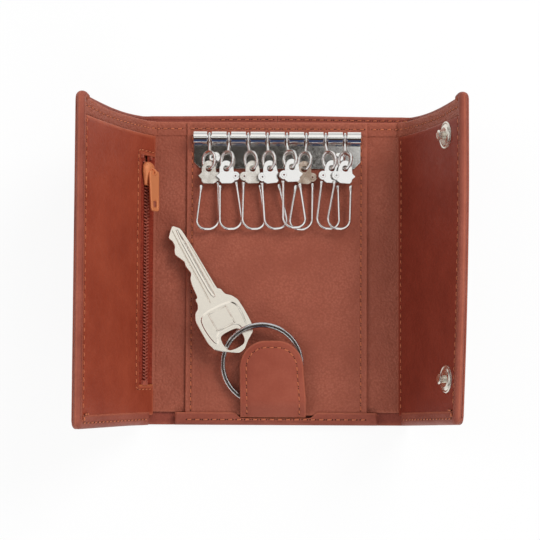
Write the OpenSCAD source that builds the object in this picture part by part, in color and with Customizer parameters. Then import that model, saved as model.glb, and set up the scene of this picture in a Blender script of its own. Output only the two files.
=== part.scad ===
// Folding leather key case: a flat back with eight swivel hooks and a ring tab, and two
// wings that stand on their folds. Millimetres, +Z up, X across, Y along the folds with
// the hook bar at +Y. The origin is the middle of the face that rests on the table.

/* [Case] */
// Height of the case along the folds
case_h = 127; // [122:1:134]
// Distance between the two inner creases
crease_span = 99; // [97:1:103]
// Length of a wing from its inner crease to its free edge
wing_l = 65; // [64:0.5:68]
// Angle at which the left wing stands at rest
left_rise = 68.5; // [62:0.5:80]
// Angle at which the right wing stands at rest
right_rise = 73; // [66:0.5:80]
// Radius of the outer corners of the wings
corner_r = 3.5; // [2:0.5:6]
// Height of the left wing's inner face above the table when it is closed
left_closed_z = 11.4; // [11.2:0.2:13]
// Slope at which the right wing lies over the left one when both are closed
close_slope = 7; // [5:0.5:9]

/* [Leather] */
// Thickness of the outer leather
shell_t = 1; // [0.8:0.05:1.1]
// Thickness of the grained lining
lining_t = 0.6; // [0.4:0.05:0.7]
// Space between the back's outer leather and its lining, open at both ends
note_gap = 0.4; // [0.35:0.05:0.6]
// Thickness of the key panel
key_panel_t = 1.2; // [1.1:0.05:1.5]
// Width of the key panel
key_panel_w = 74; // [73:0.5:76]
// Thickness of a wing's pocket panel
pocket_t = 0.8; // [0.6:0.05:0.9]
// Angle between a wing's outer leather and its inner face
wedge_angle = 2; // [1.5:0.25:3]
// Distance that the outer leather starts to bend before the crease
bend_lead = 5.5; // [4.5:0.25:7]
// Distance from the top of the case to the top of the lining
lining_drop = 3; // [2:0.25:4]
// Width of the turned edge along the top of the lining
band_w = 5.8; // [5:0.1:6]
// Thickness that the turned edge adds
band_t = 0.5; // [0.3:0.05:0.5]
// Distance from the top of the case to the top of a wing's pocket panel
pocket_drop = 9; // [9:0.25:10]
// Width of the turned border along the bottom of the case
border_w = 5.2; // [4.5:0.1:5.6]
// Thickness of the turned border
border_t = 0.6; // [0.5:0.05:0.8]
// Inner radius of the outer leather at a fold
fold_r = 4; // [3:0.25:4.5]

/* [Zip] */
// Distance from the crease to the middle of the zip's teeth
zip_u = 9; // [8.5:0.25:9.5]
// Length of the zip's opening
zip_l = 93; // [88:1:96]
// Height of the middle of the zip's opening above the case's middle line
zip_y = -1; // [-3:0.5:2]
// Distance from the crease to the stitched side of the zip's opening
zip_open_u = 13.5; // [13.5:0.25:15]
// Width of both rows of teeth together
chain_w = 4.4; // [4:0.1:4.8]
// Height of the teeth above the tape
chain_h = 1.1; // [0.9:0.05:1.3]
// Distance between two teeth of a row
tooth_pitch = 1.5; // [1.3:0.05:1.8]
// Thickness of the zip's tape
tape_t = 0.4; // [0.3:0.05:0.5]
// Length of the slider
slider_l = 9.6; // [9:0.1:10.5]
// Width of the slider at its shoulders
slider_w = 7.8; // [7.6:0.1:8.2]
// Thickness of the slider's plates
slider_t = 0.7; // [0.6:0.05:0.8]
// Length of the pull from its pin
pull_l = 16.2; // [15:0.1:20]
// Width of the pull
pull_w = 5; // [4.5:0.1:6]
// Thickness of the pull
pull_t = 1.1; // [0.9:0.05:1.3]

/* [Snaps] */
// Outer diameter of a stud's flange
snap_d = 10.7; // [9:0.1:11]
// Height of a stud's flange
snap_flange_t = 1; // [0.8:0.05:1.2]
// Diameter of a stud's head
stud_head_d = 4; // [3.6:0.1:4.2]
// Diameter of the bore in a socket
socket_bore_d = 4.8; // [4.7:0.05:5.2]
// Outer diameter of a socket
socket_d = 8.4; // [7.6:0.1:9]
// Height of a socket above the outer leather
socket_h = 1.8; // [1.5:0.1:2]
// Distance from the wing's free edge to the studs
snap_inset = 15.4; // [15:0.1:17]
// Distance from the top of the case to the upper stud
snap_top_y = 15.1; // [14.5:0.1:19]
// Distance from the bottom of the case to the lower stud
snap_bottom_y = 19.3; // [15.5:0.1:21.5]

/* [Hook bar] */
// Width of the hook bar
bar_w = 68.2; // [67:0.2:70]
// Thickness of the bar's sheet
bar_t = 0.6; // [0.5:0.05:0.7]
// Outer diameter of the roll that holds the rod
roll_d = 5.4; // [5.2:0.1:5.8]
// Distance from the top of the case to the rod
rod_y = 10.1; // [9.5:0.1:10.7]
// Distance from the rod to the lower edge of the bar
bar_drop = 12.3; // [11.5:0.1:13]
// Diameter of the rod
rod_d = 2.6; // [2.4:0.05:2.7]
// Distance between two hooks along the rod
hook_pitch = 7.9; // [7.8:0.05:8]
// Width of the gap in the roll at each hook
gap_w = 1.9; // [1.6:0.05:2.2]
// Diameter of a bar rivet's head
rivet_d = 4.9; // [4:0.1:5.2]
// Height of a bar rivet's head
rivet_h = 0.7; // [0.6:0.05:0.8]
// Distance between the two bar rivets
rivet_span = 51; // [50:0.5:52]

/* [Hooks] */
// Diameter of the stem's wire
stem_d = 1.1; // [1:0.05:1.15]
// Distance from the rod to the hole in a hook's head
stem_l = 12.8; // [12.6:0.1:13]
// Outer width of the stem's ring
ring_w = 7.2; // [7:0.1:7.4]
// Outer height of the stem's ring
ring_h = 8.3; // [8.1:0.1:8.5]
// Thickness of a head's folded sheet, both sides together
head_t = 1.4; // [1.3:0.05:1.5]
// Thickness of a head's nose, where both sides are pressed together
nose_t = 0.8; // [0.7:0.05:0.9]
// Width of a head without its ear and its nub
head_w = 5.8; // [5.6:0.1:6]
// Distance from the hole to the lower edge of a head
head_drop = 6; // [5.8:0.1:6.2]
// Diameter of the hole in a head's nose
nose_hole_d = 2.6; // [2.5:0.05:2.7]
// Distance from the hole across to the gate's rivet
ear_x = 3.6; // [3.5:0.05:3.7]
// Distance from the hole down to the gate's rivet
ear_drop = 3.1; // [3:0.05:3.3]
// Radius of the ear round the gate's rivet
ear_r = 1.8; // [1.7:0.05:1.9]
// Diameter of the gate's wire
gate_d = 1; // [0.9:0.05:1.05]
// Distance from the head's hole to the lower end of the gate
gate_reach = 24.2; // [23:0.2:26]
// Inner width of the gate at its lower end
gate_w = 8; // [7.8:0.1:8.2]
// Inner radius of the gate's corners
gate_r = 2.7; // [2.4:0.1:3.2]
// Length that the gate's free end overlaps below the head
paddle_l = 2.7; // [2.3:0.1:3]

/* [Ring tab] */
// Width of the tab
tab_w = 26.6; // [25:0.2:28]
// Distance from the bottom of the case to the tab's rounded end
tab_top = 34.2; // [33.5:0.1:34.5]
// Thickness of the tab's front leather
tab_t = 0.9; // [0.7:0.05:0.9]
// Thickness of the tab's back leather
tab_back_t = 0.5; // [0.4:0.05:0.5]
// Outer diameter of the split ring
split_ring_d = 33.8; // [33.4:0.1:34]
// Radial width of the ring's wire
ring_wire_w = 2; // [1.8:0.05:2]
// Height of the ring's two turns together
ring_wire_h = 1.7; // [1.5:0.05:1.7]
// Tilt of the ring as it lies
ring_tilt = 8; // [7:0.5:9]

/* [Key] */
// Length of the key
key_l = 59; // [57:0.5:60]
// Width of the key's bow
bow_w = 20.6; // [19.6:0.2:20.8]
// Thickness of the key's blade and rim
key_t = 1.9; // [1.7:0.05:2]
// Thickness of the bow inside its rim
bow_t = 1.3; // [1.1:0.05:1.4]
// Length of the hole in the bow, along the key
key_hole_l = 7.2; // [7:0.1:7.6]
// Width of the hole in the bow
key_hole_w = 9.2; // [9:0.1:9.6]

/* [Hidden] */
$fn = 48;
hooks = 8;
fit = 0.05;
gap = 0.1;
loose = 0.3;
overrun = 1;
arc_steps = 20;
half_h = case_h / 2;
crease_x = crease_span / 2;
rod_line = half_h - rod_y;
snap_ys = [-half_h + snap_bottom_y, half_h - snap_top_y];
tab_end = -half_h + tab_top;

// Heights of the back's layers
lining_z = shell_t + note_gap;
strip_z = lining_z + lining_t;
panel_z = strip_z + key_panel_t;
board_t = key_panel_t / 3;
hem_w = 3.5;
lining_top = half_h - lining_drop;
band_low = lining_top - band_w;
pocket_top = half_h - pocket_drop;
border_top = -half_h + border_w;
panel_low = -half_h + border_w - 2.3 * border_t;
lining_low = border_top;
back_half = crease_x - bend_lead;
border_half = key_panel_w / 2 + 4 * shell_t;
tab_notch_w = tab_w + 4 * loose;

// A wing's layers, measured inwards from its inner face
tape_w = -pocket_t - tape_t;
slider_room = 0.6;
lining_w = tape_w - slider_room;
stack_t = -lining_w + lining_t;
inner_start = 4;
band_start = 7;
border_start = 6;
outer_start = 22;
edge_inset = 0.6;

// A wing's frame: u runs from the crease to the free edge, w points inwards
function rise(side) = side < 0 ? left_rise : right_rise;
function wing_rest(side, u, w) = [
    crease_x + u * cos(rise(side)) - w * sin(rise(side)),
    strip_z + u * sin(rise(side)) + w * cos(rise(side))
];
function turned(p, c, a) = [
    c[0] + (p[0] - c[0]) * cos(a) - (p[1] - c[1]) * sin(a),
    c[1] + (p[0] - c[0]) * sin(a) + (p[1] - c[1]) * cos(a)
];
outer_l = wing_l - outer_start;
open_z = stack_t + shell_t + outer_l * tan(wedge_angle) + gap;

// One hinge line a wing: its inner face passes at the same distance from the line
// when the wing lies open, stands at rest and is closed
function closed_angle(side) = side < 0 ? 180 : 180 - close_slope;
function hinge_w(side, h) = let (k = closed_angle(side), a = rise(side), s = open_z - strip_z)
    (cos(k) * (open_z - h) - sin(k) * cos(a) * s / sin(a))
    / (1 - cos(k) + sin(k) * (cos(a) - 1) / sin(a));
function hinge_at(side, h) = let (a = rise(side), w = hinge_w(side, h))
    [crease_x + (cos(a) * (open_z - strip_z) + w * (cos(a) - 1)) / sin(a), open_z + w];
function closed_at(side, h, u, w) =
    turned(wing_rest(side, u, w), hinge_at(side, h), closed_angle(side) - rise(side));

// The right wing closes on the sockets of the closed left one
stud_u = wing_l - snap_inset;
snap_tilt = close_slope - wedge_angle;
snap_gap = snap_d / 2 * sin(snap_tilt) + gap;
stud_h = snap_flange_t + snap_gap + socket_h;
left_tip = closed_at(-1, left_closed_z, wing_l, 0);
function left_top(x) = left_closed_z + stack_t + shell_t + (-left_tip[0] - x) * tan(wedge_angle);
function settle(h, n) = n == 0 ? h : let (p = closed_at(1, h, stud_u, 0))
    settle(h + left_top(p[0]) + stud_h - p[1], n - 1);
right_closed_z = settle(left_closed_z, 6);
left_hinge = hinge_at(-1, left_closed_z);
right_hinge = hinge_at(1, right_closed_z);
function hinge(side) = side < 0 ? left_hinge : right_hinge;

// Where a stud meets the left wing's outer leather, along that leather from its edge
stud_meets = closed_at(1, right_closed_z, stud_u, stud_h - socket_h / 2);
socket_rest = turned([-stud_meets[0], stud_meets[1]], left_hinge,
                     left_rise - closed_angle(-1));
socket_x = (socket_rest[0] - wing_rest(-1, wing_l, -stack_t)[0]) * cos(left_rise + wedge_angle)
    + (socket_rest[1] - wing_rest(-1, wing_l, -stack_t)[1]) * sin(left_rise + wedge_angle);

// Zip
chain_top = -pocket_t + chain_h;
zip_low = zip_y - zip_l / 2;
zip_high = zip_y + zip_l / 2;
slider_y = zip_high - 0.78 * slider_l;
part_w = 1.7;
post_w = 1.6;
pull_pin_d = 1;
crown_h = 1.9;
crown_t = 0.6;
pull_y = slider_y + slider_l / 12;
function zip_part(y) = y < slider_y ? fit : fit + part_w * min(1, (y - slider_y) / (slider_l / 3));
zip_travel = slider_y - slider_l / 2 - zip_low - 2 * tooth_pitch;

// Hook bar and hooks
rod_z = panel_z + roll_d / 2;
eye_r = (rod_d + stem_d) / 2 + fit;
stem_bend = roll_d / 2;
neck_r = 2 * stem_d;
neck_d = 0.95 * stem_d;
ring_y = stem_l - ring_h / 2 + stem_d / 2;
ring_turn = 38;
head_side_tilt = 11;
head_drop_tilt = 1.6;
eyelet_d = 1.3;
eyelet_hole_d = 0.7;
eyelet_flange_d = 2.1;
eyelet_flange_t = 0.12;
// Sideways bend of each stem, lift of each stem off the panel, and lean of each head
stem_bends = [-1.6, -5.7, 10.2, 5.6, 11.5, -5.1, 14, 0];
stem_lifts = [2.3, 3.6, 2.3, 6.2, 14.2, 2.3, 5.8, 8.8];
head_leans = [0, 2.3, 2.7, 7.5, 3.8, -3, -1.7, -3];
// Side of each head's ear: 1 on the right, -1 on the left
ear_sides = [1, 1, -1, -1, -1, 1, -1, -1];
function hook_x(i) = (i - (hooks + 1) / 2) * hook_pitch;
function stem_reach(i) = let (b = stem_bends[i - 1]) stem_bend + (stem_l - stem_bend) * cos(b);
function hole_at(i) = [
    hook_x(i) + (stem_l - stem_bend) * sin(stem_bends[i - 1]),
    rod_line - stem_reach(i) * cos(stem_lifts[i - 1]),
    rod_z + stem_reach(i) * sin(stem_lifts[i - 1])
];
head_normal = [
    cos(head_drop_tilt) * sin(head_side_tilt),
    -sin(head_drop_tilt),
    cos(head_drop_tilt) * cos(head_side_tilt)
];
function ear_at(i) = let (s = ear_sides[i - 1], l = head_leans[i - 1],
        x = s * ear_x * cos(l) + ear_drop * sin(l), y = s * ear_x * sin(l) - ear_drop * cos(l))
    hole_at(i) + [
        x * cos(head_side_tilt) + y * sin(head_drop_tilt) * sin(head_side_tilt),
        y * cos(head_drop_tilt),
        -x * sin(head_side_tilt) + y * sin(head_drop_tilt) * cos(head_side_tilt)
    ];

// Ring, tab and key
ring_x = -5.75;
ring_up = 24.8;
ring_c_y = -half_h + ring_up;
ring_rise_to = 80;
ring_ro = split_ring_d / 2;
ring_c_z = panel_z + tab_back_t + gap + ring_wire_h / 2
    + (ring_ro - ring_wire_w / 2) * sin(ring_tilt) + 0.1 * ring_wire_h;
ring_axis = [-sin(ring_tilt) * cos(ring_rise_to), -sin(ring_tilt) * sin(ring_rise_to), cos(ring_tilt)];
tab_x = -1.2;
tab_low = -half_h + 0.63 * border_w;
tab_l = tab_end - tab_low;
tab_pivot_z = panel_z + fit + tab_back_t + tab_t;
key_turn = 118.7;
key_roll = 15;
key_pitch = 3.7;
key_hole_x = ring_x - 0.7 * ring_ro;
key_hole_y = ring_c_y + 0.568 * ring_ro;
key_hole_z = ring_c_z + 0.61 * ring_wire_h;
key_hole_back = 0.103 * key_l;

// Places and unit modules
module box_at(x0, x1, y0, y1, z0, z1) {
    translate([x0, y0, z0]) cube([x1 - x0, y1 - y0, z1 - z0]);
}

module across(points, x0, x1) {
    translate([x0, 0, 0]) rotate([90, 0, 90]) linear_extrude(x1 - x0) polygon(points);
}

module along(points, y0, y1) {
    translate([0, y1, 0]) rotate([90, 0, 0]) linear_extrude(y1 - y0) polygon(points);
}

// Wire work: straight runs and arcs end just short of each other, inside a bead
wire_end_share = 0.09;

module wire_run(p, q, d) {
    cut = wire_end_share * d;
    translate([p[0], p[1], 0]) rotate([0, 0, atan2(q[1] - p[1], q[0] - p[0])])
        translate([cut, 0, 0]) rotate([0, 90, 0]) cylinder(h = norm(q - p) - 2 * cut, d = d);
}

module wire_bend(c, r, a0, a1, d) {
    cut = wire_end_share * d / r * 180 / PI;
    translate([c[0], c[1], 0]) rotate([0, 0, a0 + cut])
        rotate_extrude(angle = a1 - a0 - 2 * cut) translate([r, 0]) circle(d = d, $fn = 32);
    for (a = [a0, a1]) translate([c[0] + r * cos(a), c[1] + r * sin(a), 0]) wire_bead(d);
}

module wire_bead(d) { sphere(d = 1.05 * d, $fn = 32); }

module sided(side) { mirror([side < 0 ? 1 : 0, 0, 0]) children(); }

module on_wing(side) {
    sided(side) translate([crease_x, 0, strip_z]) rotate([0, -rise(side), 0]) children();
}

// The outer leather's inner face, measured back from the free edge
module on_outer(side) {
    on_wing(side) translate([wing_l, 0, -stack_t]) rotate([0, -wedge_angle, 0]) children();
}

// A flat piece of a wing with rounded corners at the free edge
module wing_sheet(u0, u1, y0, y1, w0, w1, r) {
    translate([0, 0, w0]) linear_extrude(w1 - w0) union() {
        translate([u0, y0]) square([u1 - r - u0, y1 - y0]);
        translate([u0, y0 + r]) square([u1 - u0, y1 - y0 - 2 * r]);
        for (y = [y0 + r, y1 - r]) translate([u1 - r, y]) circle(r);
    }
}

module smooth_leather() { color([0.59, 0.27, 0.18]) children(); }
module grained_leather() { color([0.61, 0.35, 0.28]) children(); }
module dark_leather() { color([0.44, 0.16, 0.13]) children(); }
module nickel() { color([0.8, 0.8, 0.82]) children(); }
module copper() { color([0.8, 0.49, 0.3]) children(); }

// Back: outer leather with its turned border, lining, key panel and board
module shell_back() {
    z = panel_z + fit;
    smooth_leather() difference() {
        union() {
            box_at(-back_half, back_half, -half_h, half_h, 0, shell_t);
            box_at(-border_half, border_half, -half_h, -half_h + border_t, 0, z + border_t);
            box_at(-border_half, border_half, -half_h, border_top, z, z + border_t);
        }
        box_at(tab_x - tab_notch_w / 2, tab_x + tab_notch_w / 2, tab_low - loose, half_h, z - gap,
               z + border_t + overrun);
    }
}

module back_lining() {
    edge = crease_x - border_t;
    grained_leather() difference() {
        union() {
            box_at(-edge, edge, lining_low, lining_top, lining_z, strip_z);
            box_at(-edge, edge, band_low, lining_top, lining_z, strip_z + band_t);
        }
        rivet_bores();
    }
}

module key_panel() {
    half = key_panel_w / 2;
    top = lining_top - loose;
    grained_leather() difference() {
        box_at(-half, half, panel_low, top, strip_z, panel_z);
        box_at(-half + hem_w, half - hem_w, panel_low + hem_w, band_low - loose,
               strip_z - overrun, strip_z + board_t);
        box_at(-half - overrun, half + overrun, band_low - gap, lining_top + overrun,
               strip_z - overrun, strip_z + band_t);
        rivet_bores();
    }
}

module panel_board() {
    half = key_panel_w / 2 - hem_w - gap;
    color([0.75, 0.68, 0.55]) difference() {
        box_at(-half, half, panel_low + hem_w + gap, band_low - loose - gap, strip_z,
               strip_z + board_t);
        rivet_bores();
    }
}

// Wings
module shell_wing(side) {
    wall_u = outer_start + loose;
    union() {
        on_outer(side) difference() {
            wing_sheet(-outer_l, 0, -half_h, half_h, -shell_t, 0, corner_r);
            if (side < 0) for (y = snap_ys) translate([socket_x, y, 0]) {
                cylinder(h = 3 * shell_t, d = socket_bore_d, center = true);
                translate([0, 0, -cap_t()]) cylinder(h = shell_t, d = cap_d());
            }
        }
        on_wing(side) intersection() {
            union() {
                along([[wall_u, border_w_top()], [wall_u, outer_plane_w(wall_u)],
                       [wing_l, -stack_t - shell_t / 2], [wing_l, border_w_top()]],
                      -half_h, -half_h + border_t);
                box_at(border_start, wing_l, -half_h, border_top, pocket_w_top(), border_w_top());
            }
            border_clip();
        }
    }
}

// The turned border ends just inside the outer leather's rounded corner
module border_clip() {
    u1 = wing_l - loose;
    linear_extrude(2 * wing_l, center = true) polygon([
        [0, -half_h], [u1 - corner_r, -half_h], [u1 - 0.3 * corner_r, -half_h + 0.3 * corner_r],
        [u1, -half_h + corner_r], [u1, half_h], [0, half_h]
    ]);
}

function pocket_w_top() = fit;
function border_w_top() = fit + border_t;
function outer_plane_w(u) = -stack_t - (wing_l - u) * tan(wedge_angle) - shell_t / 2;
function cap_t() = 0.4 * shell_t;
function cap_d() = socket_d - socket_h / 2;

module shell_left_wing() { smooth_leather() shell_wing(-1); }
module shell_right_wing() { smooth_leather() shell_wing(1); }

module wing_lining(side) {
    u1 = wing_l - edge_inset;
    low = lining_w - lining_t;
    on_wing(side) union() {
        wing_sheet(inner_start, u1, lining_low, band_low, low, lining_w, corner_r / 2);
        box_at(u1 - corner_r, u1, band_low - corner_r, band_low + corner_r, low, lining_w);
        wing_sheet(band_start, u1, band_low - gap, lining_top, low, lining_w + band_t,
                   corner_r / 2);
    }
}

module left_wing_lining() { grained_leather() wing_lining(-1); }
module right_wing_lining() { grained_leather() wing_lining(1); }

// A pocket panel with its hems turned under, down to the lining
module pocket_sheet(u0, u1) {
    wing_sheet(u0, u1, panel_low, pocket_top, -pocket_t, 0, corner_r / 2);
}

module pocket_hem(u0, u1, y0, y1) {
    box_at(u0, u1, y0, y1, lining_w, -pocket_t);
}

module left_pocket_panel() {
    u1 = wing_l - edge_inset;
    smooth_leather() on_wing(-1) union() {
        difference() {
            pocket_sheet(inner_start, u1);
            box_at(0, zip_open_u, zip_low, zip_high, -pocket_t - overrun, overrun);
        }
        pocket_hem(u1 - hem_w, u1, panel_low + corner_r / 2, pocket_top - corner_r / 2);
        pocket_hem(zip_open_u + 4 * chain_h, u1 - corner_r / 2, panel_low, panel_low + hem_w);
        pocket_hem(zip_open_u + 4 * chain_h, u1 - corner_r / 2, pocket_top - hem_w, pocket_top);
    }
}

module right_pocket_panel() {
    u1 = wing_l - edge_inset;
    dark_leather() on_wing(1) difference() {
        union() {
            pocket_sheet(inner_start, u1);
            pocket_hem(u1 - hem_w, u1, panel_low + corner_r / 2, pocket_top - corner_r);
            pocket_hem(inner_start, inner_start + hem_w, panel_low, pocket_top);
            pocket_hem(inner_start, u1 - corner_r / 2, panel_low, panel_low + hem_w);
        }
        at_studs() cylinder(h = 3 * pocket_t, d = post_d() + 2 * fit, center = true);
    }
}

// Folds: the leather that bends between the back and a wing
function fold_points(side) = let (
        a = rise(side) + wedge_angle,
        tip = wing_rest(side, wing_l, -stack_t),
        ro = fold_r + shell_t,
        cz = ro,
        cx = tip[0] + ((cz - tip[1]) * cos(a) - fold_r) / sin(a),
        end = tip - (outer_l + fit) * [cos(a), sin(a)]
    ) concat(
        [[back_half + fit, 0]],
        [for (k = [0:arc_steps]) let (b = a * k / arc_steps) [cx + ro * sin(b), cz - ro * cos(b)]],
        [end + shell_t * [sin(a), -cos(a)], end],
        [for (k = [arc_steps:-1:0]) let (b = a * k / arc_steps)
            [cx + fold_r * sin(b), cz - fold_r * cos(b)]],
        [[back_half + fit, shell_t]]
    );

module fold(side) { sided(side) along(fold_points(side), -half_h, half_h); }
module fold_left() { smooth_leather() fold(-1); }
module fold_right() { smooth_leather() fold(1); }

module lining_fold(side) {
    edge = crease_x - border_t + fit;
    sided(side) {
        along([
            [edge, lining_z], [edge, strip_z], [crease_x, strip_z],
            wing_rest(side, inner_start - fit, 0),
            wing_rest(side, inner_start - fit, lining_w - lining_t)
        ], lining_low, band_low + 2 * gap);
        along([
            [edge, lining_z], [edge, strip_z + band_t], [crease_x, strip_z + band_t],
            wing_rest(side, band_start - fit, lining_w + band_t),
            wing_rest(side, band_start - fit, lining_w - lining_t)
        ], band_low + gap, lining_top);
    }
}

module lining_fold_left() { grained_leather() lining_fold(-1); }
module lining_fold_right() { grained_leather() lining_fold(1); }

// Zip: its tapes and teeth part above the slider
tooth_n = floor((zip_l - 4 * tooth_pitch) / tooth_pitch);

module zip_tapes() {
    color([0.42, 0.16, 0.13]) on_wing(-1) for (s = [-1, 1]) zip_tape_half(s);
}

module zip_tape_half(s) {
    reach = s < 0 ? zip_u - inner_start - fit : zip_open_u + 3 * chain_h - zip_u;
    ys = [zip_low - hem_w / 2, slider_y, slider_y + slider_l / 3, zip_high + hem_w / 2];
    translate([zip_u, 0, tape_w]) sided(s) linear_extrude(tape_t)
        polygon(concat([for (y = ys) [fit + zip_part(y), y]], [[reach, ys[3]], [reach, ys[0]]]));
}

// One row of teeth is a comb whose teeth cross the middle between the other row's
module zip_row(s) {
    bite = 0.3 * chain_w / 2;
    y0 = zip_low + 2 * tooth_pitch + (s > 0 ? tooth_pitch / 2 : 0);
    translate([zip_u, 0, -pocket_t]) sided(s) linear_extrude(chain_h) polygon(concat(
        [[chain_w / 2 + zip_part(zip_low), y0]],
        [for (k = [0:tooth_n - 1]) let (y = y0 + k * tooth_pitch, p = zip_part(y + tooth_pitch / 2))
            each [
                [p - bite, y + gap], [p - bite, y + tooth_pitch / 2 - gap],
                [p + bite, y + tooth_pitch / 2 + gap], [p + bite, y + tooth_pitch - gap]
            ]],
        [for (y = [zip_high - tooth_pitch, slider_y + slider_l / 3, slider_y])
            [chain_w / 2 + zip_part(y), y]]
    ));
}

module zip_teeth() {
    color([0.5, 0.2, 0.15]) on_wing(-1) for (s = [-1, 1]) zip_row(s);
}

module zip_stops() {
    l = 2 * tape_t + chain_h;
    copper() on_wing(-1) {
        box_at(zip_u - chain_w / 2, zip_u + chain_w / 2, zip_low + fit, zip_low + l, -pocket_t,
               chain_top);
        for (s = [-1, 1]) translate([zip_u + s * (chain_w / 2 + part_w), 0, 0])
            box_at(-chain_h / 2, chain_h / 2, zip_high - tooth_pitch + gap, zip_high - fit, -pocket_t,
                   chain_top);
    }
}

// Half outlines as shares of the slider's half width and of its length
slider_shares = [[0.25, 1], [0.62, 0.9], [0.95, 0.62], [1, 0.5], [0.97, 0.36], [0.78, 0.12],
                 [0.66, 0], [0.4, 0]];

module slider_outline(k) {
    pts = [for (s = slider_shares) [s[0] * slider_w / 2 * k, (s[1] - 0.5) * slider_l * k]];
    polygon(concat(pts, [for (n = [len(pts) - 1:-1:0]) [-pts[n][0], pts[n][1]]]));
}

module zip_slider() {
    under = tape_w - gap;
    top = chain_top + gap;
    side_w = slider_w / 2 - chain_w / 2 - 2 * gap;
    axle_w = top + slider_t + crown_h / 2;
    cheek = pull_tongue() / 2 + gap;
    copper() on_wing(-1) translate([zip_u, slider_y, 0]) union() {
        translate([0, 0, top]) linear_extrude(slider_t) slider_outline(1);
        translate([0, 0, under - tape_t]) linear_extrude(tape_t) slider_outline(0.94);
        box_at(-post_w / 2, post_w / 2, slider_l * 0.36, slider_l * 0.45, under - tape_t,
               top + slider_t);
        for (s = [-1, 1]) sided(s)
            intersection() {
                box_at(chain_w / 2 + gap, chain_w / 2 + gap + side_w, -slider_l / 2, -gap,
                       -pocket_t + gap, top + slider_t);
                translate([0, 0, -chain_w]) linear_extrude(2 * chain_w) slider_outline(1);
            }
        for (s = [-1, 1]) sided(s)
            translate([cheek, pull_y - slider_y, 0]) {
                box_at(0, crown_t, -crown_h / 2, crown_h / 2, top + slider_t - fit, axle_w);
                translate([0, 0, axle_w]) rotate([0, 90, 0]) cylinder(h = crown_t, d = crown_h);
            }
        translate([-cheek, pull_y - slider_y, axle_w]) rotate([0, 90, 0])
            cylinder(h = 2 * cheek, d = pull_pin_d);
    }
}

function pull_tongue() = 0.36 * pull_w;
function pull_axle() = [zip_u, pull_y, chain_top + gap + slider_t + crown_h / 2];

module zip_pull() {
    neck = slider_l / 4;
    copper() on_wing(-1) translate(pull_axle()) rotate([pull_lie, 0, 0]) difference() {
        union() {
            rotate([0, 90, 0]) cylinder(h = pull_tongue(), d = pull_eye_d(), center = true);
            box_at(-pull_tongue() / 2, pull_tongue() / 2, -neck, 0, -pull_t / 2, pull_t / 2);
            translate([0, 0, -pull_t / 2]) linear_extrude(pull_t) polygon([
                [-0.42 * pull_w, -neck], [0.42 * pull_w, -neck], [pull_w / 2, -0.45 * pull_l],
                [0.46 * pull_w, -pull_l], [-0.46 * pull_w, -pull_l], [-pull_w / 2, -0.45 * pull_l]
            ]);
        }
        rotate([0, 90, 0]) cylinder(h = pull_w, d = pull_pin_d + 2 * fit, center = true);
        box_at(-0.26 * pull_w, 0.26 * pull_w, -0.92 * pull_l, -0.76 * pull_l, -pull_t, pull_t);
    }
}

function pull_eye_d() = pull_pin_d + 0.7 * pull_t;
pull_lie = -3;

// Snaps: studs on the right wing, sockets on the outside of the left one
function post_d() = stud_head_d / 2;

module at_studs() {
    for (y = snap_ys) translate([stud_u, y, 0]) children();
}

module snap_studs() {
    r = snap_d / 2;
    neck = stud_head_d * 0.36;
    step = snap_flange_t / 4;
    nickel() on_wing(1) at_studs() rotate_extrude() polygon([
        [0, -pocket_t], [post_d() / 2, -pocket_t], [post_d() / 2, fit / 5], [r, fit / 5], [r, step],
        [0.92 * r, 2 * step], [0.82 * r, step * 1.2], [0.72 * r, 3 * step], [0.58 * r, 4 * step],
        [neck, 4 * step], [neck, stud_h - 0.55 * socket_h], [stud_head_d / 2, stud_h - 0.4 * socket_h],
        [stud_head_d / 2, stud_h - 0.2 * socket_h], [0.7 * stud_head_d / 2, stud_h], [0, stud_h]
    ]);
}

module snap_posts() {
    nickel() on_wing(1) at_studs() translate([0, 0, -pocket_t - tape_t])
        cylinder(h = tape_t, d = 0.7 * snap_d);
}

module at_sockets() {
    for (y = snap_ys) translate([socket_x, y, 0]) children();
}

module snap_sockets() {
    ro = socket_d / 2;
    ri = socket_bore_d / 2;
    z = -shell_t - fit / 5;
    nickel() on_outer(-1) at_sockets() rotate_extrude() polygon([
        [ri, z - socket_h], [0.8 * ro, z - socket_h], [0.86 * ro, z - 0.6 * socket_h],
        [ro, z - 0.45 * socket_h], [ro, z], [ri, z]
    ]);
}

module snap_caps() {
    nickel() on_outer(-1) at_sockets() translate([0, 0, -cap_t()])
        cylinder(h = cap_t() - fit, d = cap_d() - 2 * fit);
}

// Hook bar
module rivet_bores() {
    for (s = [-1, 1]) translate([s * rivet_span / 2, rod_line - 0.63 * bar_drop, 0])
        cylinder(h = 2 * roll_d, d = rivet_d / 2 + 2 * fit);
}

module hook_plate() {
    half = bar_w / 2;
    low = rod_line - bar_drop;
    cut = roll_d / 2;
    nickel() difference() {
        union() {
            translate([0, 0, panel_z]) linear_extrude(bar_t) polygon([
                [-half, rod_line], [-half, low + cut], [-half + cut, low], [half - cut, low],
                [half, low + cut], [half, rod_line]
            ]);
            translate([-half, rod_line, rod_z]) rotate([0, 90, 0]) cylinder(h = bar_w, d = roll_d);
        }
        translate([-half - overrun, rod_line, rod_z]) rotate([0, 90, 0])
            cylinder(h = bar_w + 2 * overrun, d = rod_d + 2 * fit);
        for (i = [1:hooks])
            box_at(hook_x(i) - gap_w / 2, hook_x(i) + gap_w / 2, rod_line - roll_d / 2 - gap,
                   rod_line + roll_d, 0, rod_z + roll_d);
        rivet_bores();
    }
}

module hook_rod() {
    nickel() translate([-bar_w / 2, rod_line, rod_z]) rotate([0, 90, 0])
        cylinder(h = bar_w, d = rod_d);
}

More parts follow.
